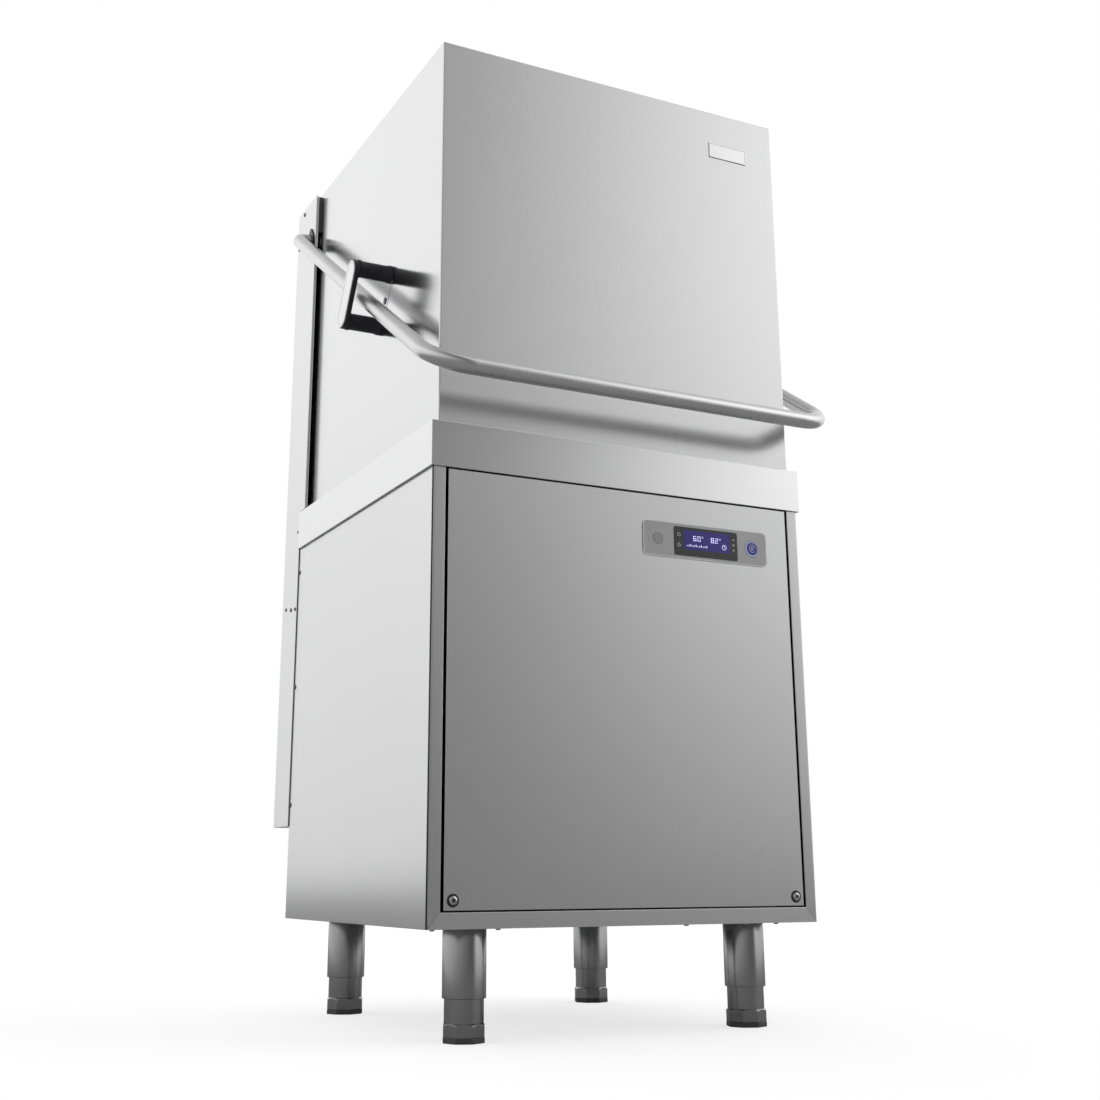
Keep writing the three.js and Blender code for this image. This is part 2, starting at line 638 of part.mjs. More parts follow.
// A channel that the carriage rollers run in, its web going back to a flange on the column,
// and the pin for the lower end of the spring.
function hoodRail(side) {
  const { web, front, back, lip, thickness, flange } = rail;
  const wall = column.back - sheet - seam;
  const strip = ([x0, x1], y) => block([side * x0, side * x1], y, [rail.bottom, rail.top]);
  const pin = { y: leverTip().y, z: spring.anchorZ };
  return join(
    strip([web, web + thickness], [front, wall]),
    strip([web, lip], [front, front + thickness]),
    strip([web, lip], [back - thickness, back]),
    strip([web - flange, web + thickness], [wall - thickness, wall]),
    rod([side * (web + 1), pin.y, pin.z], [side * 300, pin.y, pin.z], spring.pin, 12),
  );
}

function counterSpring() {
  const [bottom, top] = [spring.anchorZ + spring.hook, leverTip().z - spring.hook];
  const path = new CoilPath(spring.radius, spring.turns, bottom, top);
  const wire = polygon(circle(spring.wire, 4));
  return new THREE.ExtrudeGeometry(wire, { steps: spring.turns * 6, extrudePath: path });
}

// An outline in YZ about the origin: a circle with an ear above and below it.
function earedOutline(radius, ear, earPlace) {
  const upward = Math.PI / 2;
  const tangent = Math.acos((radius - ear) / earPlace);
  const shape = new THREE.Shape();
  shape.absarc(0, 0, radius, tangent - upward, upward - tangent);
  shape.absarc(0, earPlace, ear, upward - tangent, upward + tangent);
  shape.absarc(0, 0, radius, upward + tangent, 3 * upward - tangent);
  shape.absarc(0, -earPlace, ear, 3 * upward - tangent, 3 * upward + tangent);
  return shape;
}

// A plain bearing in the column's side: a sleeve through the sheet and a flange with two ears outside it.
function handleBush(side) {
  const rodAlong = (from, to, radius) => rod([side * from, 0, 0], [side * to, 0, 0], radius, 24);
  const flange = pushed(earedOutline(bush.flange, bush.ear, bush.earPlace), 'x',
    side * (column.half + seam), side * bush.outer, 6);
  return cut(
    join(rodAlong(bush.inner, bush.outer - 1, bush.sleeve), flange),
    rodAlong(bush.inner - 5, bush.outer + 5, handle.radius + bush.play),
  ).translate(0, pivot.y, pivot.z);
}

// ---------------------------------------------------------------- hood

function hoodShell() {
  const { half, front, back, bottom, top } = hood;
  const returnWidth = 19.6;
  const shell = cut(
    block([-half, half], [front, back], [bottom, top]),
    block([-half + sheet, half - sheet], [front + sheet, back + 5], [bottom - 5, top - sheet]),
  );
  const inner = half - sheet / 2;
  const sideReturns = sides.map((side) => (
    block([side * (half - returnWidth), side * inner], [back - sheet, back], [bottom, top - sheet / 2])));
  const topReturn = block([-inner, inner], [back - sheet, back], [top - 20, top - sheet / 2]);
  const pinHoles = sides.map((side) => (
    rod([side * 295, guide.y, guide.z], [side * 315, guide.y, guide.z], guidePin + 0.4)));
  return cut(join(shell, ...sideReturns, topReturn), ...pinHoles);
}

// Two bracket plates on the hood's back edges, each with two rollers, joined by a flat tie bar.
function hoodCarriage() {
  const [bottom, top] = [868, 1002];
  const start = hood.back + seam;
  const pieces = [block([-286, 286], [start, start + 3], [bottom, bottom + 30])];
  for (const side of sides) {
    pieces.push(block([side * 284, side * 299], [start, start + 2], [bottom, top]));
    pieces.push(block([side * 284, side * 287], [start, 318], [bottom, top]));
    for (const z of [bottom + 20, top - 20]) {
      pieces.push(rod([side * 267, 310, z], [side * 281, 310, z], 11.5));
      pieces.push(rod([side * 280, 310, z], [side * 285, 310, z], 5, 12));
    }
  }
  return join(...pieces);
}

// ---------------------------------------------------------------- lifting handle

// One bent tube round three sides of the hood. Each end turns in through the column's side
// and carries a lever that the counterbalance spring pulls on.
function handleBar() {
  const end = (lever.inner + lever.outer) / 2;
  const { x, frontY, frontZ, frontBend, rearBend, radius, wall } = handle;
  const bends = [0, rearBend, frontBend, frontBend, rearBend, 0];
  const bar = tube([
    [-end, pivot.y, pivot.z], [-x, pivot.y, pivot.z], [-x, frontY, frontZ],
    [x, frontY, frontZ], [x, pivot.y, pivot.z], [end, pivot.y, pivot.z],
  ], radius, bends, { wall, corners: 10, bendSteps: 4 });
  const tip = leverTip();
  const levers = [];
  const bores = [];
  for (const side of sides) {
    const arm = new THREE.Shape();
    const lean = THREE.MathUtils.degToRad(lever.angle);
    arm.absarc(pivot.y, pivot.z, 13, lean + Math.PI / 2, lean + 1.5 * Math.PI);
    arm.absarc(tip.y, tip.z, 8, lean - Math.PI / 2, lean + Math.PI / 2);
    levers.push(pushed(arm, 'x', side * lever.inner, side * lever.outer, 8));
    levers.push(rod([side * lever.outer, tip.y, tip.z], [side * 279, tip.y, tip.z], 4, 12));
    bores.push(rod([side * 299, pivot.y, pivot.z], [side * 313, pivot.y, pivot.z], radius - wall));
  }
  return cut(join(bar, ...levers), ...bores);
}

// An outline in YZ about the origin, long along Z.
function ovalOutline(length, width) {
  const reach = (length - width) / 2;
  const shape = new THREE.Shape();
  shape.absarc(0, reach, width / 2, 0, Math.PI);
  shape.absarc(0, -reach, width / 2, Math.PI, 2 * Math.PI);
  return shape;
}

// Two posts on a base plate that swivels on the hood's side. The handle's tube runs between them.
function guidePosts(side) {
  const plate = pushed(ovalOutline(guideCap.length - 2, guideCap.width - 8), 'x',
    side * (hood.half + seam), side * guide.base);
  const posts = sides.map((end) => {
    const z = (end * guide.spacing) / 2;
    return rod([side * (guide.base - 1), 0, z], [side * guide.end, 0, z], guide.post, 18);
  });
  const pin = rod([side * 298, 0, 0], [side * guide.base, 0, 0], guidePin);
  return join(plate, pin, ...posts);
}

function guideCapPlate(side) {
  return pushed(ovalOutline(guideCap.length, guideCap.width), 'x', side * (guide.end + seam),
    side * guideCap.outer, 10);
}

// ---------------------------------------------------------------- legs

function legTube() {
  const { radius, bore, bottom, stud } = leg;
  return turned([
    [0, 138], [bore, 138], [bore, bottom], [radius, bottom], [radius, cabinet.bottom], [stud, cabinet.bottom],
    [stud, 162], [0, 162],
  ], 20);
}

// A stem that screws up into the leg, on an eight-sided foot.
function adjustableFoot() {
  const { radius, top, baseCorners, baseRadius, baseTop, shoulder } = foot;
  const stem = turned([[0, baseTop / 2], [radius, baseTop / 2], [radius, top], [0, top]], 20);
  const base = rod([0, 0, 0], [0, 0, baseTop], baseRadius, baseCorners);
  const collar = rod([0, 0, baseTop - 1], [0, 0, baseTop + 5], shoulder, 20, radius);
  return join(stem, base, collar);
}

// ---------------------------------------------------------------- assembly

add('base_frame', baseFrame(), finish.zinc());
add('back_panel', backPanel(), finish.brushed());
add('front_frame', frontFrame(), finish.brushed());
add('front_panel', frontPanel(), finish.brushed());
add('tank_rim', tankRim(), finish.brushed());
add('wash_tank', washTank(), finish.brushed());
add('surface_strainer', surfaceStrainer(), finish.brushed());
add('strainer_basket', strainerBasket(), finish.satin());
add('rack_track', rackTrack(), finish.satin());
add('rear_wall', rearWall(), finish.brushed());
add('lower_spindle', lowerSpindle(), finish.satin());
add('riser_pipe', riserPipe(), finish.satin());

add('control_fascia', controlFascia(), finish.grey());
add('display_window', displayWindow(), finish.screen());
add('power_button', pushButton(powerButton), finish.grey());
add('start_button', pushButton(startButton), finish.blue());
add('control_box', controlBox(), finish.zinc());

add('wash_pump_housing', pumpVolute(), finish.plastic());
add('wash_pump_motor', pumpMotor(), finish.grey());
add('wash_hose', tube([[15, pump.outletY, pump.outletTop + seam], [15, pump.outletY, 400],
  [0, riser.y, 450], [0, riser.y, 504.5]], 17, 30, { wall: 3 }), finish.rubber());
add('suction_pipe', tube([[suction.x, pump.y, tank.bottom - seam], [suction.x, pump.y, pump.z],
  [pump.left - 25 - seam, pump.y, pump.z]], suction.radius, 35, { wall: 2.5 }), finish.rubber());
add('rinse_boiler', rinseBoiler(), finish.satin());
add('boiler_heater', boilerHeater(), finish.copper());
add('tank_heater', tankHeater(), finish.copper());
add('drain_pump', drainPumpBody(), finish.plastic());
add('drain_hose', drainHose(), finish.rubber());
add('inlet_valve', inletValve(), finish.plastic());
add('dosing_pump', dosingPump(), finish.plastic());

add('column_cover', columnCover(), finish.brushed());
add('hood_shell', hoodShell(), finish.brushed());
add('hood_carriage', hoodCarriage(), finish.zinc());
add('hood_badge', block(badge.x, [hood.front - badge.thickness, hood.front], badge.z), finish.satin());
add('handle_bar', handleBar(), finish.satin());

const impellerGroup = new THREE.Group();
impellerGroup.position.set(0, pump.y, pump.z);
add('pump_impeller', pumpImpeller(), finish.satin(), impellerGroup);
machine.add(impellerGroup);

// Each arm sits on its spindle, above or below the rack.
const armPlaces = [
  ['lower_wash_arm', washArm(true), lowerArm.wash, 20],
  ['lower_rinse_arm', rinseArm(true), lowerArm.rinse, 65],
  ['upper_wash_arm', washArm(false), upperArm.wash, -20],
  ['upper_rinse_arm', rinseArm(false), upperArm.rinse, -65],
];
for (const [name, geometry, height, turn] of armPlaces) {
  const armGroup = new THREE.Group();
  armGroup.position.set(centre.x, centre.y, height);
  armGroup.rotation.z = THREE.MathUtils.degToRad(turn);
  add(name, geometry, finish.satin(), armGroup);
  machine.add(armGroup);
}

for (const side of sides) {
  const where = sideName[side];
  add(`side_panel_${where}`, sidePanel(side), finish.brushed());
  add(`hood_rail_${where}`, hoodRail(side), finish.zinc());
  add(`handle_bush_${where}`, handleBush(side), finish.black());

  const screwGroup = new THREE.Group();
  screwGroup.position.set(side * panelScrew.x, cabinet.front, panelScrew.z);
  add(`panel_screw_${where}`, screwOfPanel(), finish.satin(), screwGroup);
  machine.add(screwGroup);

  const springGroup = new THREE.Group();
  springGroup.position.set(side * spring.x, leverTip().y, 0);
  add(`counter_spring_${where}`, counterSpring(), finish.zinc(), springGroup);
  machine.add(springGroup);

  const guideGroup = new THREE.Group();
  guideGroup.position.set(0, guide.y, guide.z);
  guideGroup.rotation.x = THREE.MathUtils.degToRad(guide.tilt);
  add(`guide_posts_${where}`, guidePosts(side), finish.black(), guideGroup);
  add(`guide_cap_${where}`, guideCapPlate(side), finish.satin(), guideGroup);
  machine.add(guideGroup);

  for (const end of ['front', 'back']) {
    const legGroup = new THREE.Group();
    legGroup.position.set(side * legPlaces.x, legPlaces[end], 0);
    add(`leg_${end}_${where}`, legTube(), finish.satin(), legGroup);
    add(`foot_${end}_${where}`, adjustableFoot(), finish.satin(), legGroup);
    machine.add(legGroup);
  }
}

export default machine;
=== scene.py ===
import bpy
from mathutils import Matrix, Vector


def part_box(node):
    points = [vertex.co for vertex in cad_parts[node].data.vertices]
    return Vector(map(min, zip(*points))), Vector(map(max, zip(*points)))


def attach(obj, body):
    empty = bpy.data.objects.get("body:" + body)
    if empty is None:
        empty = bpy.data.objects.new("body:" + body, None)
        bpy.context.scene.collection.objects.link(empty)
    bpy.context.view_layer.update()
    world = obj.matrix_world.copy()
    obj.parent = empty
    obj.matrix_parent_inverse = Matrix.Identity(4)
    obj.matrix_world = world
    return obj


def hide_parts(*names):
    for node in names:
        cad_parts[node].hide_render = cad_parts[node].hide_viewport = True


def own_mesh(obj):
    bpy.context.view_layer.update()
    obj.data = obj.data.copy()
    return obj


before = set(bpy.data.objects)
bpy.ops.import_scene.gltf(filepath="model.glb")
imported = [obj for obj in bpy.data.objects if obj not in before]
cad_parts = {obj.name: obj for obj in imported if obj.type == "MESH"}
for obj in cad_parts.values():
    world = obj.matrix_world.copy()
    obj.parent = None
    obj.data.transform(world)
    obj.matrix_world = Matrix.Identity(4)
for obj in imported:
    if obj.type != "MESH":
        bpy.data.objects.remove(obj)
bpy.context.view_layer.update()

import math

import bmesh
import bpy
from mathutils import Matrix, Vector

# Hood-type dishwasher. Every length below is in millimetres in the CAD frame and MM turns it into metres:
# X is the machine's right, Y its back, Z up, and the origin is on the floor under the cabinet.
MM = 0.001
SIDES = {"left": -1, "right": 1}
TURN = 2 * math.pi
QUARTER = math.pi / 2

# ---- mesh helpers


def block(bm, xs, ys, zs):
    """A box between two X, two Y and two Z values."""
    corners = [bm.verts.new((x * MM, y * MM, z * MM)) for z in zs for y in ys for x in xs]
    for face in ((0, 2, 3, 1), (4, 5, 7, 6), (0, 1, 5, 4), (2, 6, 7, 3), (0, 4, 6, 2), (1, 3, 7, 5)):
        bm.faces.new([corners[i] for i in face])


def loft(bm, rings, closed=False):
    """Joins rings of points, each closed on itself. The ends get caps unless the rings make a loop."""
    made = [[bm.verts.new(p) for p in ring] for ring in rings]
    pairs = list(zip(made, made[1:]))
    if closed:
        pairs.append((made[-1], made[0]))
    for a, b in pairs:
        for i in range(len(a)):
            j = (i + 1) % len(a)
            bm.faces.new((a[i], a[j], b[j], b[i]))
    if not closed:
        bm.faces.new(list(reversed(made[0])))
        bm.faces.new(made[-1])


def placed(outline, z, matrix):
    """Points of an outline in XY, in millimetres, at the height z and then moved by the matrix."""
    return [matrix @ (Vector((x, y, z)) * MM) for x, y in outline]


def ring_of_points(place, height, reach, count):
    """Points round Z at one height. The reach is a radius, or a function of the angle."""
    outline = []
    for i in range(count):
        angle = TURN * i / count
        radius = reach(angle) if callable(reach) else reach
        outline.append((radius * math.cos(angle), radius * math.sin(angle)))
    return placed(outline, height, place)


def turned(bm, profile, place, segments=48, closed=False):
    """A body of revolution about Z from (radius, height) pairs, then placed by the matrix."""
    loft(bm, [ring_of_points(place, height, radius, segments) for radius, height in profile], closed)


def bent_path(corners, radii, steps=10):
    """Points along straight runs joined by round bends."""
    corners = [Vector(c) for c in corners]
    points = [corners[0]]
    for i in range(1, len(corners) - 1):
        before = (corners[i] - corners[i - 1]).normalized()
        after = (corners[i + 1] - corners[i]).normalized()
        bend = before.angle(after)
        inward = (after - before).normalized()
        middle = corners[i] + inward * (radii[i] / math.cos(bend / 2))
        axis = before.cross(after).normalized()
        spoke = before.cross(axis) * radii[i]
        for step in range(steps + 1):
            points.append(middle + Matrix.Rotation(bend * step / steps, 3, axis) @ spoke)
    points.append(corners[-1])
    return points


def sweep(bm, points, radius, ring=32, wall=0.0):
    """A round bar along the points, or a tube with a wall, with one radius or a list of them.

    The section is carried along without twist.
    """
    points = [Vector(p) for p in points]
    count = len(points)
    tangents = []
    for i in range(count):
        a = points[max(i - 1, 0)]
        b = points[min(i + 1, count - 1)]
        tangents.append((b - a).normalized())
    helper = Vector((0, 0, 1)) if abs(tangents[0].z) < 0.9 else Vector((1, 0, 0))
    across = tangents[0].cross(helper).normalized()
    outer, inner = [], []
    for i in range(count):
        if i:
            across = tangents[i - 1].rotation_difference(tangents[i]) @ across
            across = (across - tangents[i] * across.dot(tangents[i])).normalized()
        up = tangents[i].cross(across)
        size = radius[i] if isinstance(radius, list) else radius
        for rings, r in ((outer, size), (inner, size - wall)):
            angles = [TURN * k / ring for k in range(ring)]
            spokes = [across * (r * math.cos(a)) + up * (r * math.sin(a)) for a in angles]
            rings.append([(points[i] + spoke) * MM for spoke in spokes])
    if wall:
        loft(bm, outer + list(reversed(inner)), closed=True)
    else:
        loft(bm, outer)


def slab(bm, outline, depth, matrix):
    """A flat outline in XY pushed from depth[0] to depth[1] along Z, then placed."""
    loft(bm, [placed(outline, z, matrix) for z in depth])


def arc(x, y, radius, start, span, steps):
    """Points on part of a circle."""
    angles = [start + span * i / steps for i in range(steps + 1)]
    return [(x + radius * math.cos(a), y + radius * math.sin(a)) for a in angles]


def rounded(x, y, radius, steps=8):
    """A rectangle with round corners as a list of points."""
    left, right, low, high = x[0] + radius, x[1] - radius, y[0] + radius, y[1] - radius
    points = []
    for quarter, centre in enumerate(((right, high), (left, high), (left, low), (right, low))):
        points += arc(*centre, radius, quarter * QUARTER, QUARTER, steps)
    return points


def framed(bm, outer, inner, depth, matrix):
    """A flat ring between two outlines with the same number of points."""
    low, high = depth
    rings = ((outer, low), (outer, high), (inner, high), (inner, low))
    loft(bm, [placed(outline, z, matrix) for outline, z in rings], closed=True)


def facing_front(y):
    """Places an outline drawn in XZ on the plane y, with its thickness towards the front."""
    upright_plane = Matrix(((1, 0, 0, 0), (0, 0, -1, 0), (0, 1, 0, 0), (0, 0, 0, 1)))
    return Matrix.Translation((0, y * MM, 0)) @ upright_plane


def facing_side(side):
    """Places an outline drawn in YZ, with its depth along X. A side of -1 turns it towards the left."""
    return Matrix(((0, 0, side, 0), (1, 0, 0, 0), (0, 1, 0, 0), (0, 0, 0, 1)))


def along(axis, place):
    """A matrix that stands Z along the axis, with its foot at the place."""
    turn = Vector((0, 0, 1)).rotation_difference(Vector(axis)).to_matrix().to_4x4()
    return Matrix.Translation(Vector(place) * MM) @ turn


def new_object(name, bm, material):
    mesh = bpy.data.meshes.new(name)
    bm.to_mesh(mesh)
    bm.free()
    mesh.materials.append(material)
    made = bpy.data.objects.new(name, mesh)
    bpy.context.scene.collection.objects.link(made)
    return made


def piece(name, bm, body, slot, material, bevel=0.0, stands_for=None, angle=35, bevel_steps=2):
    """Makes a named object from the mesh, smooth up to the angle in degrees, and lets it ride on a body."""
    bmesh.ops.recalc_face_normals(bm, faces=bm.faces)
    made = new_object(name, bm, material)
    made.data.polygons.foreach_set("use_smooth", [True] * len(made.data.polygons))
    made.data.set_sharp_from_angle(angle=math.radians(angle))
    if bevel:
        add_bevel(made, bevel, bevel_steps)
    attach(made, body)
    if stands_for:
        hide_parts(stands_for)
    return made


def add_bevel(made, width, steps=2):
    """Rounds the edges that are sharper than 40 degrees."""
    edge = made.modifiers.new("edge", "BEVEL")
    edge.width = width * MM
    edge.segments = steps
    edge.limit_method = "ANGLE"
    edge.angle_limit = math.radians(40)
    edge.harden_normals = True
    edge.use_clamp_overlap = True


def add_sheet(made, thickness):
    """Gives a folded surface the thickness of its sheet, inwards, and keeps flat faces flat in the light."""
    sheet = made.modifiers.new("sheet", "SOLIDIFY")
    sheet.thickness = thickness * MM
    sheet.offset = -1
    sheet.use_even_offset = True
    flat = made.modifiers.new("flat", "WEIGHTED_NORMAL")
    flat.keep_sharp = True
    flat.weight = 100


def round_folds(bm, radius, chosen=lambda edge: True):
    """Rounds the chosen folds of an open sheet, which are the edges where two faces meet at an angle."""
    sharp = 1.0
    folds = [e for e in bm.edges if len(e.link_faces) == 2 and e.calc_face_angle(0) > sharp and chosen(e)]
    bmesh.ops.bevel(bm, geom=folds, offset=radius * MM, segments=5, profile=0.5, affect="EDGES")


def soften(node, width):
    """Gives a CAD node the small round of a folded or deburred edge."""
    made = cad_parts[node]
    weld = made.modifiers.new("weld", "WELD")
    weld.merge_threshold = 0.02 * MM
    flat = made.modifiers.new("flat", "DECIMATE")
    flat.decimate_type = "DISSOLVE"
    flat.angle_limit = math.radians(0.5)
    add_bevel(made, width)
    made.modifiers["edge"].harden_normals = False


# ---- material helpers


class Nodes:
    """Short calls for the nodes of a material or of the surroundings."""

    def __init__(self, tree):
        self.tree = tree

    def node(self, kind, **values):
        made = self.tree.nodes.new(kind)
        for key, value in values.items():
            setattr(made, key, value)
        return made

    def link(self, out, into):
        self.tree.links.new(out, into)

    def put(self, value, socket):
        """Sets a number or a colour, or links the output of another node."""
        if isinstance(value, (int, float)):
            socket.default_value = value
        elif isinstance(value, tuple):
            socket.default_value = (*value, 1)
        else:
            self.link(value, socket)

    def spread(self, value, low, high, start=0.3, end=0.7, **kind):
        """Turns the range from start to end into the range from low to high."""
        made = self.node("ShaderNodeMapRange", **kind)
        for key, number in (("From Min", start), ("From Max", end), ("To Min", low), ("To Max", high)):
            made.inputs[key].default_value = number
        self.link(value, made.inputs["Value"])
        return made.outputs["Result"]

    def math(self, operation, a, b):
        made = self.node("ShaderNodeMath", operation=operation)
        self.put(a, made.inputs[0])
        self.put(b, made.inputs[1])
        return made.outputs[0]

    def mix(self, share, a, b):
        made = self.node("ShaderNodeMix", data_type="RGBA")
        for value, index in ((share, 0), (a, 6), (b, 7)):
            self.put(value, made.inputs[index])
        return made.outputs[2]

    def part_of(self, vector, index):
        split = self.node("ShaderNodeSeparateXYZ")
        self.link(vector, split.inputs[0])
        return split.outputs[index]


class Shader(Nodes):
    """A Principled material whose marks are placed in the object's own space."""

    def __init__(self, name, colour, metallic, roughness):
        self.material = bpy.data.materials.new(name)
        self.material.use_nodes = True
        super().__init__(self.material.node_tree)
        self.base = self.tree.nodes["Principled BSDF"]
        self.set({"Base Color": colour, "Metallic": metallic, "Roughness": roughness})
        self.places = self.node("ShaderNodeTexCoord").outputs["Object"]

    def set(self, values):
        for key, value in values.items():
            self.put(value, self.base.inputs[key])

    def noise(self, scale, detail=4.0, roughness=0.6, stretch=(1, 1, 1)):
        mapping = self.node("ShaderNodeMapping")
        mapping.inputs["Scale"].default_value = stretch
        self.link(self.places, mapping.inputs["Vector"])
        made = self.node("ShaderNodeTexNoise")
        for key, number in (("Scale", scale), ("Detail", detail), ("Roughness", roughness)):
            made.inputs[key].default_value = number
        self.link(mapping.outputs["Vector"], made.inputs["Vector"])
        return made.outputs["Fac"]

    def bump(self, height, strength, distance):
        made = self.node("ShaderNodeBump")
        made.inputs["Strength"].default_value = strength
        made.inputs["Distance"].default_value = distance
        self.link(height, made.inputs["Height"])
        self.set({"Normal": made.outputs["Normal"]})

    def grain_across(self, axis, amount):
        """Stretches highlights square to the brushing, which runs along the axis."""
        geometry = self.node("ShaderNodeNewGeometry")
        cross = self.node("ShaderNodeVectorMath", operation="CROSS_PRODUCT")
        cross.inputs[0].default_value = axis
        self.link(geometry.outputs["Normal"], cross.inputs[1])
        self.set({"Tangent": cross.outputs[0], "Anisotropic": amount})


def scaled(values, factor):
    return tuple(v * factor for v in values)


# Brushed sheet: the direction of the brushing, and how often its marks repeat in a metre across it.
UPRIGHT = {"stretch": (1.0, 1.0, 0.012), "axis": (0.01, 0.02, 1)}
LEVEL = {"stretch": (0.012, 1.0, 1.0), "axis": (1, 0.01, 0.02)}
FINE_LINES = 1400
STREAKS = 150
SCRATCHES = 520
# Near-black colour of painted shade on the walls of the gap round the front panel.
GAP_PAINTED_SHADE = (0.015, 0.015, 0.015)


def brushed(name, colour, roughness, lines, streak=0.004, front=None, painted_shade_behind=None):
    """Sheet steel: fine brushed lines, faint long streaks, slightly hazy patches and a few short scratches.

    Faces towards the front can have their own roughness, and the walls of a gap get painted shade, a
    near-black colour behind a given Y.
    """
    stretch = lines["stretch"]
    s = Shader(name, colour, 1.0, roughness)
    fine = s.noise(1.0, 5, 0.7, scaled(stretch, FINE_LINES))
    streaks = s.noise(1.0, 4, 0.65, scaled(stretch, STREAKS))
    haze = s.noise(2.2, 2, 0.5)
    scratch = s.noise(1.0, 2, 0.9, scaled(stretch, SCRATCHES))
    tone = s.mix(s.spread(streaks, 0, 1), scaled(colour, 1 - streak), scaled(colour, 1 + streak))
    tone = s.mix(s.spread(fine, 0, 1), tone, scaled(colour, 1 - 1.2 * streak))
    marks = s.spread(scratch, 0, 1, 0.72, 0.82)
    tone = s.mix(marks, tone, scaled(colour, 1.03))
    # Painted shade: faces deeper than the given Y, which are the walls of the gap, turn near-black.
    if painted_shade_behind is not None:
        start, end = ((painted_shade_behind + shift) * MM for shift in (-0.4, 0.4))
        tone = s.mix(s.spread(s.part_of(s.places, 1), 0, 1, start, end), tone, GAP_PAINTED_SHADE)
    rough = s.math("ADD", s.spread(fine, -0.004, 0.004), s.spread(haze, roughness - 0.01, roughness + 0.01))
    if front is not None:
        facing = s.part_of(s.node("ShaderNodeNewGeometry").outputs["Normal"], 1)
        rough = s.math("ADD", rough, s.spread(facing, front - roughness, 0, -0.95, -0.5))
    s.set({"Base Color": tone, "Roughness": rough})
    s.bump(fine, 0.005, 0.00005)
    s.grain_across(lines["axis"], amount=0.6)
    return s.material


def polished(name, colour, roughness, lines=(1, 1, 1), wear=0.08, grain=0.04):
    """Round steel with fine lines left by the polishing belt, and handling marks."""
    s = Shader(name, colour, 1.0, roughness)
    fine = s.noise(1.0, 5, 0.7, scaled(lines, 1500))
    marks = s.noise(26.0, 5, 0.65)
    tone = s.mix(s.spread(marks, 0, 1), scaled(colour, 1 - wear), scaled(colour, 1.03))
    rough = s.math("ADD", s.spread(fine, -grain, grain), s.spread(marks, roughness - 0.02, roughness + 0.03))
    s.set({"Base Color": tone, "Roughness": rough})
    s.bump(fine, grain, 0.00005)
    return s.material


def galvanised(name):
    """Zinc-coated sheet with its crystals."""
    colour = (0.50, 0.51, 0.52)
    s = Shader(name, colour, 0.9, 0.42)
    cells = s.node("ShaderNodeTexVoronoi")
    cells.inputs["Scale"].default_value = 90
    s.link(s.places, cells.inputs["Vector"])
    split = s.node("ShaderNodeSeparateColor")
    s.link(cells.outputs["Color"], split.inputs[0])
    dust = s.noise(14, 4, 0.6)
    tone = s.mix(split.outputs[0], scaled(colour, 0.8), scaled(colour, 1.15))
    tone = s.mix(s.spread(dust, 0, 0.3), tone, (0.42, 0.42, 0.41))
    s.set({"Base Color": tone, "Roughness": s.spread(split.outputs[1], 0.34, 0.55, 0, 1)})
    s.bump(dust, 0.1, 0.0003)
    return s.material


def moulded(name, colour, roughness, grain=900, bump=0.12, sheen=0.0, shade=0.12):
    """Moulded plastic or rubber with a fine texture and uneven gloss."""
    s = Shader(name, colour, 0.0, roughness)
    fine = s.noise(grain, 3, 0.6)
    patches = s.noise(18, 4, 0.6)
    tone = s.mix(s.spread(patches, 0, 1), scaled(colour, 1 - shade), scaled(colour, 1 + shade))
    gloss = s.spread(patches, roughness - 0.05, roughness + 0.08)
    s.set({"Base Color": tone, "Roughness": gloss, "Sheen Weight": sheen})
    s.bump(fine, bump, 0.0002)
    return s.material


def film(name, colour, roughness):
    """Printed film of the control strip: a fine metallic speckle under a satin surface."""
    s = Shader(name, colour, 0.35, roughness)
    speckle = s.noise(2600, 2, 0.6)
    cloud = s.noise(20, 3, 0.5)
    tone = s.mix(s.spread(speckle, 0, 1), scaled(colour, 0.9), scaled(colour, 1.1))
    tone = s.mix(s.spread(cloud, 0, 0.25), tone, scaled(colour, 0.85))
    s.set({"Base Color": tone, "Roughness": s.spread(cloud, roughness - 0.04, roughness + 0.06)})
    s.bump(speckle, 0.08, 0.0001)
    return s.material


def glowing(name, colour, strength, grid=0.0):
    """A lit part of the display, with the faint grid of its dots."""
    s = Shader(name, scaled(colour, 0.7), 0.0, 0.25)
    dots = s.noise(1200, 1, 0.5)
    tint = s.mix(s.spread(dots, 0, 1), scaled(colour, 1 - grid), colour)
    s.set({"Emission Color": tint, "Emission Strength": strength})
    s.bump(dots, 0.03, 0.0001)
    return s.material


def perforated(name, colour, pitch):
    """Thin steel tray with rows of punched holes, which are painted near-black as painted shade seen through
    them.
    """
    s = Shader(name, colour, 1.0, 0.3)
    waves = []
    for i in (0, 1):
        turn = s.math("MULTIPLY", s.part_of(s.places, i), TURN / (pitch * MM))
        waves.append(s.math("COSINE", turn, 0.0))
    hole = s.spread(s.math("ADD", waves[0], waves[1]), 0, 1, 0.55, 0.85)
    scuff = s.noise(30, 4, 0.6)
    tone = s.mix(s.spread(scuff, 0, 1), scaled(colour, 0.9), colour)
    solid = s.math("SUBTRACT", 1.0, hole)
    # Painted shade: where the holes are, the colour is near-black and not metallic.
    s.set({"Base Color": s.mix(hole, tone, (0.01, 0.01, 0.01)), "Metallic": solid,
           "Roughness": s.spread(scuff, 0.26, 0.4)})
    s.bump(solid, 0.5, 0.0005)
    return s.material


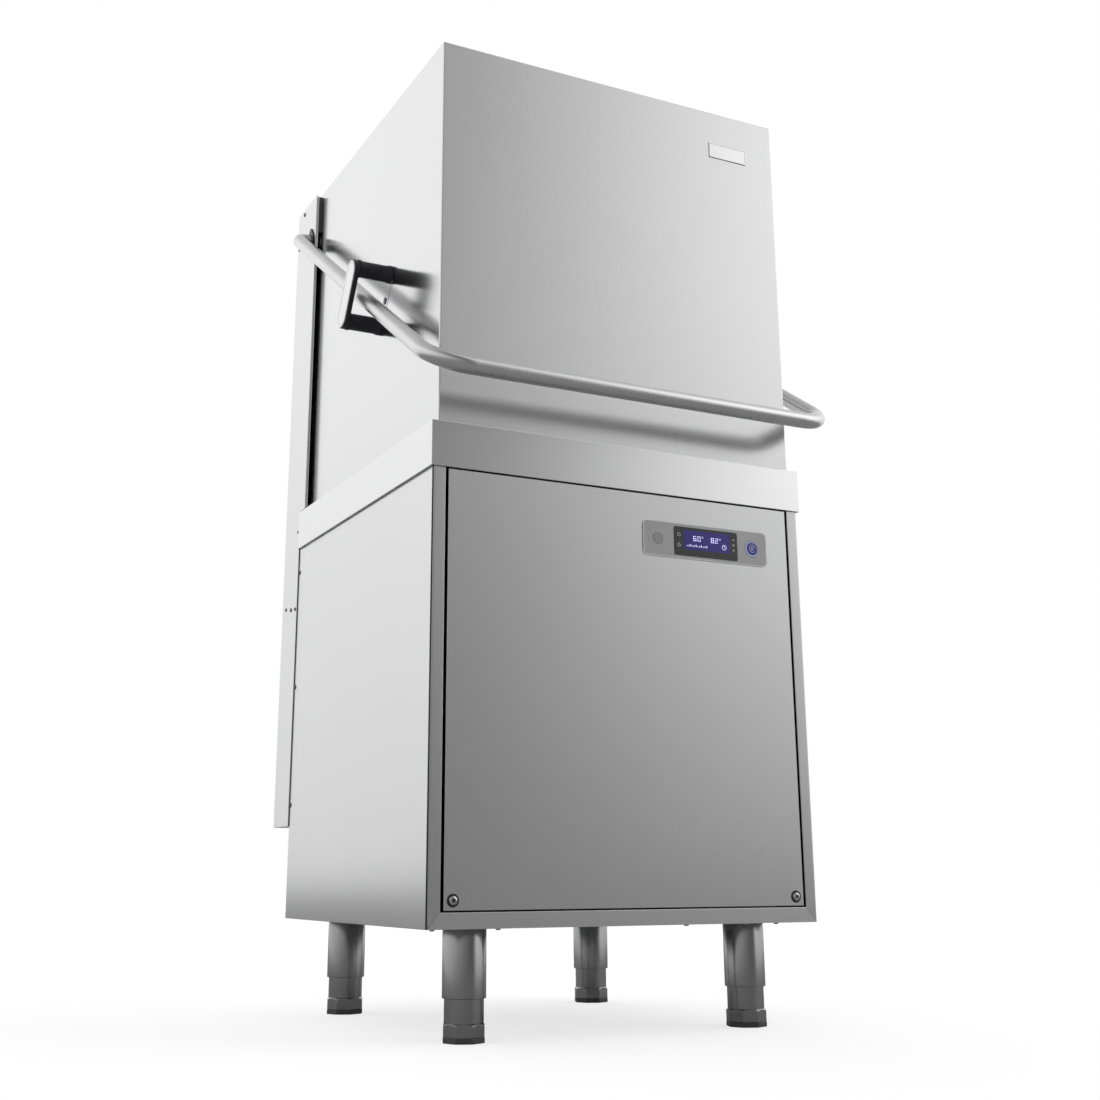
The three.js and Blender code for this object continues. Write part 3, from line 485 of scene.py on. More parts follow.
STEEL = (0.68, 0.68, 0.685)
GAP_WALL = -303.2  # just behind the front faces round the panel; the gap walls behind it get painted shade
sheet_panel = brushed("brushed_panel", scaled(STEEL, 0.92), 0.27, UPRIGHT, painted_shade_behind=GAP_WALL)
# The uprights and the base strip are one steel in two tones, darker uprights and lighter base: painted shade
# and painted light for how the strips catch the light.
sheet_upright = brushed("brushed_upright", scaled(STEEL, 0.86), 0.3, UPRIGHT, painted_shade_behind=GAP_WALL)
sheet_base = brushed("brushed_base", scaled(STEEL, 0.97), 0.3, UPRIGHT, painted_shade_behind=GAP_WALL)
sheet_side = brushed("brushed_side", STEEL, 0.22, UPRIGHT)
sheet_rim = brushed("brushed_rim", scaled(STEEL, 1.1), 0.26, LEVEL)
sheet_hood = brushed("brushed_hood", STEEL, 0.15, UPRIGHT, front=0.28)
sheet_inside = brushed("brushed_inside", scaled(STEEL, 0.95), 0.3, LEVEL, streak=0.03)
tube_steel = polished("polished_tube", (0.66, 0.66, 0.665), 0.27, wear=0.04, grain=0.02)
leg_steel = polished("leg_steel", (0.38, 0.38, 0.385), 0.2, (0.02, 0.02, 1), wear=0.03, grain=0.01)
# Painted shade: the rivet domes are coloured very dark for how dark the steel domes look against the bright
# sheet.
rivet_steel = polished("rivet_steel", (0.13, 0.13, 0.13), 0.4)
satin_steel = polished("satin_steel", (0.74, 0.74, 0.74), 0.26)
screw_steel = polished("screw_steel", (0.60, 0.60, 0.60), 0.2)
zinc = galvanised("zinc_sheet")
black = moulded("black_moulding", (0.022, 0.022, 0.027), 0.36)
rubber = moulded("foot_rubber", (0.07, 0.07, 0.072), 0.5, 500, 0.2, sheen=0.1)
seal_rubber = moulded("seal_rubber", (0.2, 0.2, 0.205), 0.6, 500, 0.2)
hose_rubber = moulded("black_hose", (0.028, 0.028, 0.03), 0.55, 700, 0.25)
strip_film = film("fascia_film", (0.48, 0.48, 0.48), 0.38)
# Painted highlight: near-white colour for the light caught by the raised edge of the control strip.
fascia_highlight_edge = moulded("fascia_edge_highlight", (0.95, 0.95, 0.95), 0.4, 1200, 0.05, shade=0.04)
grey_key = moulded("button_grey", (0.45, 0.45, 0.45), 0.42)
blue_key = moulded("button_blue", (0.072, 0.082, 0.42), 0.3, 1500, 0.05)
pale_key = moulded("button_pale", (0.62, 0.65, 0.86), 0.35, 1500, 0.05, shade=0.05)
lens = moulded("display_lens", (0.042, 0.042, 0.046), 0.28, 1500, 0.02)
screen_glow = glowing("screen_glow", (0.022, 0.012, 0.17), 0.54, 0.35)
digit_glow = glowing("digit_glow", (0.62, 0.60, 0.92), 0.9, 0.1)
print_white = moulded("print_white", (0.72, 0.72, 0.74), 0.5, 1200, 0.03, shade=0.05)
white_plastic = moulded("white_moulding", (0.66, 0.66, 0.63), 0.45)
cast_grey = moulded("grey_casting", (0.32, 0.33, 0.34), 0.5, 260, 0.5)
sheath = polished("heater_sheath", (0.42, 0.27, 0.18), 0.36, wear=0.3)
tray_steel = perforated("perforated_tray", (0.6, 0.6, 0.6), 4.0)

# ---- CAD nodes that stay

carried = {
    sheet_panel: ["front_panel"],
    sheet_side: ["side_panel_left", "side_panel_right", "column_cover", "back_panel"],
    sheet_rim: ["tank_rim"],
    sheet_inside: ["wash_tank", "rear_wall"],
    tray_steel: ["surface_strainer"],
    satin_steel: ["strainer_basket", "rack_track", "lower_spindle", "riser_pipe", "rinse_boiler",
                  "pump_impeller"],
    zinc: ["base_frame", "control_box", "hood_rail_left", "hood_rail_right", "hood_carriage"],
    strip_film: ["control_fascia"],
    lens: ["display_window"],
    white_plastic: ["wash_pump_housing", "drain_pump", "inlet_valve", "dosing_pump"],
    cast_grey: ["wash_pump_motor"],
    sheath: ["boiler_heater", "tank_heater"],
}
for material, names in carried.items():
    for name in names:
        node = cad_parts[name]
        node.data.materials.clear()
        node.data.materials.append(material)

softened = {
    0.55: carried[sheet_panel] + carried[sheet_side] + carried[sheet_rim] + ["rear_wall"],
    0.4: carried[zinc] + ["rack_track", "dosing_pump", "inlet_valve"],
    0.25: carried[lens],
    0.2: carried[strip_film],
}
for width, names in softened.items():
    for name in names:
        soften(name, width)

# ---- front frame

FRAME = {"half": 313.5, "bottom": 147, "top": 772.7, "front": -304, "side": 19.3, "base": 21.5, "fold": 4,
         "lip": 14, "mitre": 0.45, "outer_round": 3.2, "inner_round": 0.8, "sheet": 1.4}


def folded_strips(name, runs, folds, material, stands_for=None):
    """Sheet steel folded along straight lines. Each run lists its lines from one edge to the other.

    Each fold is a radius, then the axis and the distance along it where the fold lies on either side.
    """
    bm = bmesh.new()
    for lines in runs:
        ends = [[bm.verts.new([v * MM for v in end]) for end in line] for line in lines]
        for (a, b), (c, d) in zip(ends, ends[1:]):
            bm.faces.new((a, c, d, b))
    bm.normal_update()
    near = 0.5 * MM
    for radius, (axis, reach) in folds:
        round_folds(bm, radius, lambda e: all(abs(abs(v.co[axis]) - reach * MM) < near for v in e.verts))
    made = piece(name, bm, "cabinet", "brushed_sheet", material, stands_for=stands_for, angle=50)
    add_sheet(made, FRAME["sheet"])


def front_frame():
    """Two uprights and a base strip, mitred where they meet, with a lip round the panel's opening."""
    half, bottom, front, joint = (FRAME[key] for key in ("half", "bottom", "front", "mitre"))
    open_half = half - FRAME["side"]
    open_bottom = bottom + FRAME["base"]
    back_of_lip = front + FRAME["lip"]
    runs = []
    for side in SIDES.values():
        profile = ((side * half, front + FRAME["fold"], bottom), (side * half, front, bottom),
                   (side * open_half, front, open_bottom), (side * open_half, back_of_lip, open_bottom))
        runs.append([((x, y, z + joint), (x, y, FRAME["top"])) for x, y, z in profile])
    folds = [(FRAME["outer_round"], (0, half)), (FRAME["inner_round"], (0, open_half))]
    folded_strips("front_uprights", runs, folds, sheet_upright, stands_for="front_frame")
    profile = ((half - joint, front, bottom), (open_half, front, open_bottom),
               (open_half, back_of_lip, open_bottom))
    run = [((-x, y, z), (x, y, z)) for x, y, z in profile]
    folded_strips("front_base", [run], [(FRAME["inner_round"], (2, open_bottom))], sheet_base)


front_frame()

# ---- hood

HOOD = {"flange": 19.6, "hem": 8, "fold": 2.4, "sheet": 1.5}


def hood_shell():
    """Four folded sides and a top, open below, with a flange round the open back and a hem below."""
    (x0, y0, z0), (x1, y1, z1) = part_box("hood_shell")
    bm = bmesh.new()

    def corners(y, inset):
        """The lower left, lower right, upper right and upper left corners at one depth."""
        left, right, top = x0 + inset, x1 - inset, z1 - inset
        return [bm.verts.new((x, y, z)) for x, z in ((left, z0), (right, z0), (right, top), (left, top))]

    front, back, opening = corners(y0, 0), corners(y1, 0), corners(y1, HOOD["flange"] * MM)
    bm.faces.new(front)
    for a, b in ((0, 3), (3, 2), (2, 1)):
        bm.faces.new((back[a], front[a], front[b], back[b]))
        bm.faces.new((back[a], back[b], opening[b], opening[a]))
    foot = (front[0], front[1], back[1], back[0])
    hem = HOOD["hem"] * MM
    inside = ((x0 + hem, y0 + hem), (x1 - hem, y0 + hem), (x1 - hem, y1 - hem), (x0 + hem, y1 - hem))
    turned_in = [bm.verts.new((x, y, z0)) for x, y in inside]
    for a, b in ((1, 0), (0, 3), (2, 1)):
        bm.faces.new((foot[a], foot[b], turned_in[b], turned_in[a]))
    bm.normal_update()
    round_folds(bm, HOOD["fold"])
    made = piece("hood_shell_folded", bm, "hood", "brushed_sheet", sheet_hood, stands_for="hood_shell",
                 angle=50)
    add_sheet(made, HOOD["sheet"])


hood_shell()

COLUMN = {"half": 315.5, "front": 279, "back": 386, "step": 842, "top": 1450}
COLUMN_HEM = {"width": 5.8, "depth": 5.6, "round": 2.6, "inset": 0.1}
SEAL = {"x": (304.4, 311.5), "z": (1379, 1451), "depth": 4}


def edge_strips(name, xs, ys, zs, *body_and_look, **edge):
    """An upright strip on the left and its mirror image on the right."""
    for where, side in SIDES.items():
        bm = bmesh.new()
        block(bm, sorted(side * x for x in xs), ys, zs)
        piece(name + where, bm, *body_and_look, **edge)


def column_hems():
    """The front edges of the column above the cabinet, turned back on themselves towards the hood."""
    outer = COLUMN["half"] - COLUMN_HEM["inset"]
    xs = (outer - COLUMN_HEM["width"], outer)
    ys = (COLUMN["front"], COLUMN["front"] + COLUMN_HEM["depth"])
    zs = (COLUMN["step"] + 1, COLUMN["top"] - 2)
    edge_strips("column_hem_", xs, ys, zs, "cabinet", "brushed_sheet", sheet_side, bevel=COLUMN_HEM["round"],
                bevel_steps=5)


def corner_seals():
    """Grey rubber strips on the hood's rear edges near the top, closing the gap to the column."""
    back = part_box("hood_shell")[1].y / MM - 1
    ys = (back - SEAL["depth"], back)
    edge_strips("hood_corner_seal_", SEAL["x"], ys, SEAL["z"], "hood", "black_moulding", seal_rubber,
                bevel=0.5)


column_hems()
corner_seals()


def hood_badge():
    """A blank plate with a raised border."""
    low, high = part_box("hood_badge")
    x = [low.x / MM, high.x / MM]
    z = [low.z / MM, high.z / MM]
    border, plate, raised = 2, 1.0, 1.5
    place = facing_front(high.y / MM)
    outline = rounded(x, z, 2, 6)
    inside = rounded([x[0] + border, x[1] - border], [z[0] + border, z[1] - border], 1, 6)
    bm = bmesh.new()
    slab(bm, outline, (0, plate), place)
    framed(bm, outline, inside, (plate, raised), place)
    piece("hood_badge_blank", bm, "hood", "satin_tube", satin_steel, bevel=0.2, stands_for="hood_badge")


hood_badge()

# ---- handle

PIVOT = (303.5, 1364)
HANDLE = {"x": 342, "end": 309, "front": (-369, 904.5), "rear_bend": 23, "front_bend": 60, "radius": 12.5,
          "wall": 1.5}
LEVER = {"length": 70, "angle": math.radians(32), "big": 13, "small": 8, "x": (306.5, 311.5)}
lever_tip = (PIVOT[0] + LEVER["length"] * math.cos(LEVER["angle"]),
             PIVOT[1] + LEVER["length"] * math.sin(LEVER["angle"]))
BUSH = {"bore": 12.9, "sleeve": 15.5, "flange": 17.5, "ear": 5, "ear_place": 21.5, "inner": 312.2,
        "outer": 318, "flange_back": 315.8}
SPRING = {"x": 288, "bottom": 897, "hook": 12, "coil": 9.2, "wire": 1.5, "turns": 62, "kept_length": 0.8597}


def handle_tube():
    """One tube from bush to bush, bent round the sides and the front of the hood."""
    x, end, front = HANDLE["x"], HANDLE["end"], HANDLE["front"]
    corners = [(-end, *PIVOT), (-x, *PIVOT), (-x, *front), (x, *front), (x, *PIVOT), (end, *PIVOT)]
    bends = (0, HANDLE["rear_bend"], HANDLE["front_bend"], HANDLE["front_bend"], HANDLE["rear_bend"], 0)
    bm = bmesh.new()
    sweep(bm, bent_path(corners, bends, 14), HANDLE["radius"], 40, wall=HANDLE["wall"])
    piece("handle_tube", bm, "handle", "satin_tube", tube_steel, stands_for="handle_bar")


def lever_arm(side, name):
    """The arm inside the column that the counterbalance spring pulls on, with the pin for its hook."""
    lean = LEVER["angle"]
    outline = arc(*PIVOT, LEVER["big"], lean + QUARTER, math.pi, 12)
    outline += arc(*lever_tip, LEVER["small"], lean - QUARTER, math.pi, 12)
    bm = bmesh.new()
    slab(bm, outline, [side * x for x in LEVER["x"]], facing_side(1))
    pin_start = LEVER["x"][1] - 0.5
    pin = [(4, 0), (4, 30), (5.5, 30.2), (5.5, 32)]
    turned(bm, pin, along((-side, 0, 0), (side * pin_start, *lever_tip)), 24)
    piece("lever_arm_" + name, bm, "handle", "zinc_sheet", zinc, bevel=0.5)


def bush(side, name):
    """The bearing in the column's side: a sleeve and a flange with an ear above and below."""
    y, z = PIVOT
    bore, flange, ear, ear_place = (BUSH[key] for key in ("bore", "flange", "ear", "ear_place"))
    tangent = math.acos((flange - ear) / ear_place)
    outline, hole = [], []
    for centre, radius, middle in ((0, flange, 0), (ear_place, ear, 1), (0, flange, 2), (-ear_place, ear, 3)):
        half = QUARTER - tangent if centre == 0 else tangent
        start = middle * QUARTER - half
        outline += arc(y, z + centre, radius, start, 2 * half, 12)
        hole += arc(y, z, bore, start, 2 * half, 12)
    bm = bmesh.new()
    framed(bm, outline, hole, (BUSH["flange_back"], BUSH["outer"]), facing_side(side))
    start, end, sleeve = BUSH["inner"], BUSH["flange_back"] + 0.4, BUSH["sleeve"]
    ring = [(bore, start), (sleeve, start), (sleeve, end), (bore, end)]
    turned(bm, ring, along((side, 0, 0), (0, *PIVOT)), 48, closed=True)
    name = "bush_" + name
    piece(name, bm, "cabinet", "black_moulding", black, bevel=0.4, stands_for="handle_" + name)


def counter_spring(side, name):
    """A close-wound tension spring with a hook at each end."""
    middle, y = side * SPRING["x"], lever_tip[0]
    bottom, top, hook, coil = SPRING["bottom"], lever_tip[1] - 7, SPRING["hook"], SPRING["coil"]
    steps, hook_step = 14, 3.6
    count = SPRING["turns"] * steps
    points = []
    for i in range(count + 1):
        angle = TURN * i / steps
        height = bottom + hook + (top - bottom - 2 * hook) * i / count
        points.append((middle + coil * math.cos(angle), y + coil * math.sin(angle), height))
    across = [middle + coil * math.cos(t) for t in (0, 0.6, 1.2, QUARTER)]
    lower = [(x, y, bottom + 1 + hook_step * k) for k, x in enumerate(reversed(across))]
    upper = [(x, y, top - hook + hook_step * k) for k, x in enumerate(across)]
    bm = bmesh.new()
    sweep(bm, lower + points[1:-1] + upper, SPRING["wire"], 6)
    made = piece("counter_spring_coil_" + name, bm, "cabinet", "zinc_sheet", zinc,
                 stands_for="counter_spring_" + name)
    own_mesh(made)


handle_tube()
for name, side in SIDES.items():
    lever_arm(side, name)
    bush(side, name)
    counter_spring(side, name)

# ---- handle guides

GUIDE = {"y": -71.5, "z": 1108.5, "tilt": math.radians(30), "spacing": 85, "post": 14.5, "waist": 1.2,
         "base": 305, "end": 363, "collar": 6, "cap": (363.3, 370.6), "face": (370.4, 371.4)}


def oval(length, width, steps=24):
    """A slot shape standing along Y: straight sides and half-round ends."""
    reach = (length - width) / 2
    return arc(0, reach, width / 2, 0, math.pi, steps) + arc(0, -reach, width / 2, math.pi, math.pi, steps)


def guide_pieces(side, name):
    """Two posts between a base on the hood and an outer cap. The handle runs between the posts."""
    body = "guide_" + name
    place = Matrix.Translation((0, GUIDE["y"] * MM, GUIDE["z"] * MM)) @ Matrix.Rotation(GUIDE["tilt"], 4, "X")
    outward = place @ facing_side(side)
    base, end, collar = GUIDE["base"], GUIDE["end"], GUIDE["collar"]
    bm = bmesh.new()
    slab(bm, oval(108, 24, 16), (base - 0.35, base + 0.1), outward)
    piece("guide_base_" + name, bm, body, "brushed_sheet", sheet_hood)

    bm = bmesh.new()
    wide = GUIDE["post"]
    waist = wide - GUIDE["waist"]
    post = [(0.01, base), (wide, base), (wide, base + collar), (waist, base + collar + 2), (waist, end - 7),
            (wide, end - 5), (wide, end), (0.01, end)]
    for half in (-0.5, 0.5):
        turned(bm, post, outward @ Matrix.Translation((0, half * GUIDE["spacing"] * MM, 0)), 40)
    swivel_pin = [(6, base - 7), (6, base + 1)]
    turned(bm, swivel_pin, outward, 24)
    posts = "guide_posts_" + name
    piece("guide_rollers_" + name, bm, body, "black_moulding", black, bevel=0.6, stands_for=posts)

    bm = bmesh.new()
    slab(bm, oval(112, 42), GUIDE["cap"], outward)
    piece("guide_cover_" + name, bm, body, "black_moulding", black, bevel=1.2, bevel_steps=3,
          stands_for="guide_cap_" + name)

    bm = bmesh.new()
    back, front = GUIDE["face"]
    slab(bm, oval(108.5, 38.5), (back, front), outward)
    framed(bm, oval(108.5, 38.5), oval(102.5, 32.5), (front, front + 0.6), outward)
    slab(bm, oval(101, 31), (front - 0.2, front + 0.5), outward)
    piece("guide_face_" + name, bm, body, "satin_tube", satin_steel, bevel=0.18)


for name, side in SIDES.items():
    guide_pieces(side, name)

# ---- legs and feet


def polygon_reach(angle, corner_radius, corners):
    """Distance from the centre to the side of a regular polygon at this angle."""
    share = TURN / corners
    return corner_radius * math.cos(share / 2) / math.cos((angle % share) - share / 2)


LEG = {"x": 228, "front": -234, "back": 239, "radius": 30, "bore": 27, "bottom": 56, "top": 147,
       "bore_top": 138, "stud": 8, "stud_top": 162}
FOOT = {"corners": 8, "corner_radius": 29.8, "pad_radius": 30.3, "stem": 26.9, "pad": 7, "shoulder": 25,
        "slope": 1.1, "step": 0.25, "steps": 12, "edge": 0.6, "middle": 60, "top": 112}


def leg_tube(key, place):
    """A tube closed at the top, with the stud that holds it to the base."""
    radius, bore, low, top = (LEG[k] for k in ("radius", "bore", "bottom", "top"))
    profile = [(bore, LEG["bore_top"]), (bore, low + 0.8), (bore + 0.6, low), (radius - 0.8, low),
               (radius, low + 0.8), (radius, top - 1.4), (radius - 0.4, top), (LEG["stud"], top),
               (LEG["stud"], LEG["stud_top"]), (0.01, LEG["stud_top"]), (0.01, LEG["bore_top"])]
    bm = bmesh.new()
    turned(bm, profile, place, 64, closed=True)
    piece("leg_tube_" + key, bm, "cabinet", "leg_steel", leg_steel, stands_for="leg_" + key)


def foot_side(angle):
    return polygon_reach(angle, FOOT["corner_radius"], FOOT["corners"])


def foot(key, place):
    """A round stem that slides in the leg and widens to an eight-sided end on a rubber pad."""
    pad, shoulder, top = FOOT["pad"], FOOT["shoulder"], FOOT["top"]
    chamfer = [shoulder - FOOT["step"] * i for i in range(FOOT["steps"], -1, -1)]
    rings = []
    for z in (pad, pad + FOOT["edge"], *chamfer, FOOT["middle"], top - 1, top):
        slope = FOOT["stem"] + max(0, shoulder - z) * FOOT["slope"]
        less = FOOT["edge"] if z in (pad, top) else 0
        rings.append(ring_of_points(place, z, lambda angle: min(slope, foot_side(angle)) - less, 96))
    bm = bmesh.new()
    loft(bm, rings)
    body = "foot_" + key
    piece("foot_stem_" + key, bm, body, "leg_steel", leg_steel, stands_for=body, angle=20)

    bm = bmesh.new()
    turned(bm, [(FOOT["pad_radius"], 0), (FOOT["pad_radius"], pad)], place, FOOT["corners"])
    piece("foot_pad_" + key, bm, body, "black_moulding", rubber, bevel=1.0)


for name, side in SIDES.items():
    for end in ("front", "back"):
        spot = Matrix.Translation((side * LEG["x"] * MM, LEG[end] * MM, 0))
        leg_tube(end + "_" + name, spot)
        foot(end + "_" + name, spot)

# ---- control strip

FASCIA = {"x": (27, 251), "z": (677, 731.5), "radius": 8, "border": 1.5, "depth": 1.45}
SCREEN = {"x": (99, 183), "z": (692, 722), "front": -305.5}
PRINT = (0, 0.08)
POWER = {"x": 53.2, "z": 704.8, "radius": 8.6, "face": 305.8}
START = {"x": 224, "z": 703.8, "radius": 10, "ring": 12.8, "mark": -305.6}

SEGMENTS = {"0": "abcdef", "2": "abged", "6": "afgedc", "8": "abcdefg"}


def bar(bm, xs, zs, y, depth=PRINT):
    """A flat rectangle on the plane y, seen from the front."""
    slab(bm, [(xs[0], zs[0]), (xs[1], zs[0]), (xs[1], zs[1]), (xs[0], zs[1])], depth, facing_front(y))


def digit(bm, char, x, z, width, height, y, thick):
    """One seven-segment figure made of flat bars."""
    middle, top = z + height / 2, z + height
    full, left, right = (x, x + width), (x, x + thick), (x + width - thick, x + width)
    bars = {"a": (full, (top - thick, top)), "b": (right, (middle, top)), "c": (right, (z, middle)),
            "d": (full, (z, z + thick)), "e": (left, (z, middle)), "f": (left, (middle, top)),
            "g": (full, (middle - thick / 2, middle + thick / 2))}
    for key in SEGMENTS[char]:
        bar(bm, *bars[key], y)


def ring_mark(bm, x, z, outer, inner, y, start=0.0, share=1.0, steps=32, depth=PRINT):
    """A flat ring, or part of one."""
    count = max(3, round(steps * share))
    place = facing_front(y)
    for i in range(count):
        a, b = (start + TURN * share * k / count for k in (i, i + 1))
        corners = ((inner, a), (outer, a), (outer, b), (inner, b))
        slab(bm, [(x + r * math.cos(t), z + r * math.sin(t)) for r, t in corners], depth, place)


def fascia_border():
    border, radius = FASCIA["border"], FASCIA["radius"]
    outer = rounded(FASCIA["x"], FASCIA["z"], radius, 10)
    inner_x, inner_z = ((low + border, high - border) for low, high in (FASCIA["x"], FASCIA["z"]))
    inner = rounded(inner_x, inner_z, radius - border, 10)
    bm = bmesh.new()
    framed(bm, outer, inner, (0, FASCIA["depth"]), facing_front(FRAME["front"]))
    # The border carries the painted highlight of the strip's raised edge.
    piece("fascia_border", bm, "cabinet", "fascia_film", fascia_highlight_edge, bevel=0.2)


def screen():
    """The lit display with two temperatures, a row of bars for the cycle and a clock."""
    bm = bmesh.new()
    slab(bm, rounded(SCREEN["x"], SCREEN["z"], 0.8, 3), (-0.2, 0.05), facing_front(SCREEN["front"]))
    piece("screen_panel", bm, "cabinet", "display_lens", screen_glow)

    face = SCREEN["front"] - 0.05
    bm = bmesh.new()
    for text, x in (("60", 116), ("82", 148)):
        for i, char in enumerate(text):
            digit(bm, char, x + i * 7.6, 706, 5.4, 8, face, 1.1)
        ring_mark(bm, x + 16.6, 713, 1.4, 0.8, face, steps=16)
    for i in range(12):
        x = 104 + i * 3.2
        bar(bm, (x, x + 1.6), (697, 698.5 + i % 3), face)
    clock_x, clock_z = 172, 701
    ring_mark(bm, clock_x, clock_z, 4.2, 3.3, face)
    bar(bm, (clock_x - 0.4, clock_x + 0.4), (clock_z, clock_z + 3), face)
    bar(bm, (clock_x - 0.4, clock_x + 2.4), (clock_z - 0.4, clock_z + 0.4), face)
    piece("screen_figures", bm, "cabinet", "display_lens", digit_glow)


def display_marks():
    """Plain marks printed beside the screen: two rings with a bar, two arrows and a ring."""
    face = SCREEN["front"]
    left, right = 90.4, 189.4
    bm = bmesh.new()
    for z in (714, 698):
        ring_mark(bm, left, z, 3.0, 2.2, face, start=math.pi * 0.6, share=0.8)
        bar(bm, (left - 0.4, left + 0.4), (z, z + 4), face)
    for z, way in ((715, 1), (698, -1)):
        arrow = [(right - 2, z - 1.4 * way), (right + 2, z - 1.4 * way), (right, z + 1.8 * way)]
        slab(bm, arrow[::way], PRINT, facing_front(face))
    ring_mark(bm, right, 706.5, 2.0, 1.2, face, steps=20)
    piece("display_marks", bm, "cabinet", "display_lens", print_white)


def power_button():
    """A round key with a ring and a bar standing up on its face."""
    x, z, radius, face = POWER.values()
    raised = (-0.05, 0.25)
    key = [(0.01, 302.2), (radius, 302.2), (radius, face - 0.6), (radius - 0.4, face), (0.01, face)]
    bm = bmesh.new()
    turned(bm, key, along((0, -1, 0), (x, 0, z)), 48)
    ring_mark(bm, x, z, 5.2, 4.1, -face, start=math.radians(120), share=0.83, depth=raised)
    bar(bm, (x - 0.6, x + 0.6), (z + 0.5, z + 6), -face, raised)
    piece("power_key", bm, "power_button", "button_grey", grey_key, stands_for="power_button")


def start_button():
    """A blue key in a pale ring, with a plain arrow and ring printed on it."""
    x, z, radius, outer, mark = START.values()
    place = along((0, -1, 0), (x, 0, z))
    inner = radius - 0.1
    ring = [(inner, 302), (outer, 302), (outer, 305.4), (outer - 0.5, 305.8), (inner + 0.5, 305.8),
            (inner, 305.5)]
    bm = bmesh.new()
    turned(bm, ring, place, 56, closed=True)
    piece("start_key_ring", bm, "start_button", "button_blue", pale_key)
    dome = [(0.01, 302), (radius, 302), (radius, 305.3), (8.5, 305.55), (4.0, 305.7), (0.01, 305.72)]
    bm = bmesh.new()
    turned(bm, dome, place, 56)
    piece("start_key", bm, "start_button", "button_blue", blue_key, stands_for="start_button")
    bm = bmesh.new()
    ring_mark(bm, x, z, 5.6, 4.6, mark, start=math.radians(30), share=0.8, depth=(0, 0.2))
    slab(bm, [(x - 1.6, z - 2.4), (x + 2.6, z), (x - 1.6, z + 2.4)], (0, 0.2), facing_front(mark))
    piece("start_key_mark", bm, "start_button", "button_blue", print_white)


fascia_border()
screen()
display_marks()
power_button()
start_button()

# ---- screws and rivets


def domed_screw(bm, place, head=7.5, rise=2.4, socket=3.0, shank=3.0, depth=8.0):
    """A domed head with a hexagon socket."""
    dome = [(shank, -depth), (shank, 0), (head, 0), (head, rise * 0.35), (head * 0.93, rise * 0.7),
            (head * 0.75, rise * 0.95), (head * 0.55, rise), (socket * 1.1, rise)]
    rings = [ring_of_points(place, height, radius, 24) for radius, height in dome]
    for height in (rise, rise * 0.3):
        rings.append(ring_of_points(place, height, lambda angle: polygon_reach(angle, socket, 6), 24))
    loft(bm, rings)


def panel_screws():
    """A domed screw low in each corner of the front panel, with a black ring under its head and a black
    hexagon in its socket: painted shade of the head's edge and of the recess.
    """
    for name, side in SIDES.items():
        place = along((0, -1, 0), (side * 276.4, FRAME["front"], 183.5))
        bm = bmesh.new()
        domed_screw(bm, place @ Matrix.Translation((0, 0, 0.7 * MM)), head=6, depth=12)
        piece("panel_screw_domed_" + name, bm, "cabinet", "satin_tube", screw_steel,
              stands_for="panel_screw_" + name)
        # Painted shade: a black ring under the head for its shadowed edge, and a black hexagon filling the
        # socket for the dark recess.
        bm = bmesh.new()
        turned(bm, [(3.2, 0), (8.8, 0), (8.8, 0.4), (8.2, 0.9), (3.2, 0.9)], place, 40, closed=True)
        turned(bm, [(0.01, 1.3), (2.4, 1.3), (2.4, 2.6), (0.01, 2.6)], place, 6)
        piece("panel_screw_painted_shade_" + name, bm, "cabinet", "black_moulding", black)


COLUMN_RIVETS = ((312, 667, 3.4), (336, 669, 4), (365, 674, 3.2), (351, 1440, 4), (378, 1377, 2.4),
                 (312, 806, 2.6))


def screw_row(name, axis, spots, *sizes):
    bm = bmesh.new()
    for spot in spots:
        domed_screw(bm, along(axis, spot), *sizes)
    piece(name, bm, "cabinet", "satin_tube", screw_steel)


def fastener_rows():
    """Rivets in the sides, and pan-head screws in the back of the column, the back panel and the base."""
    for name, side in SIDES.items():
        outward = (side, 0, 0)
        bm = bmesh.new()
        for z in (730, 529, 330):
            domed_screw(bm, along(outward, (side * FRAME["half"], 299, z)), 4, 1.2, 1.6, 1.4, 3)
        piece("side_rivets_" + name, bm, "cabinet", "satin_tube", rivet_steel)
        bm = bmesh.new()
        for y, z, size in COLUMN_RIVETS:
            domed_screw(bm, along(outward, (side * COLUMN["half"], y, z)), size, 1.2, size * 0.4, 1.4, 3)
        piece("column_rivets_" + name, bm, "cabinet", "satin_tube", rivet_steel)
    spots = [(side * 303, COLUMN["back"], z) for side in SIDES.values() for z in (320, 600, 880, 1160, 1425)]
    spots += [(x, COLUMN["back"], z) for x in (-150, 0, 150) for z in (1438, 307)]
    screw_row("column_back_screws", (0, 1, 0), spots, 4.2, 1.8, 1.8, 2, 4)
    spots = [(x, 302.2, 160) for x in (-285, -95, 95, 285)]
    screw_row("back_panel_screws", (0, 1, 0), spots, 3.8, 1.6, 1.6, 1.8, 4)
    spots = [(x, -288, FRAME["bottom"]) for x in (-299, -203, 94, 196, 250)]
    screw_row("base_screws", (0, 0, -1), spots, 3.6, 2.4, 1.5, 1.6, 2)


panel_screws()
fastener_rows()

# ---- hoses


DRAIN = [(-212.4, -8, 264), (-297, -8, 264), (-297, 235, 230), (-240, 235, 230), (-240, 345, 230)]
WASH = [(15, 200, 340.3), (15, 200, 400), (0, 275, 450), (0, 275, 504.5)]
SUCTION = [(-95, 150, 597.7), (-95, 150, 250), (-45.3, 150, 250)]
RIB = {"crest": 10.0, "valley": 9.2, "step": 1.6, "cuff": 12}


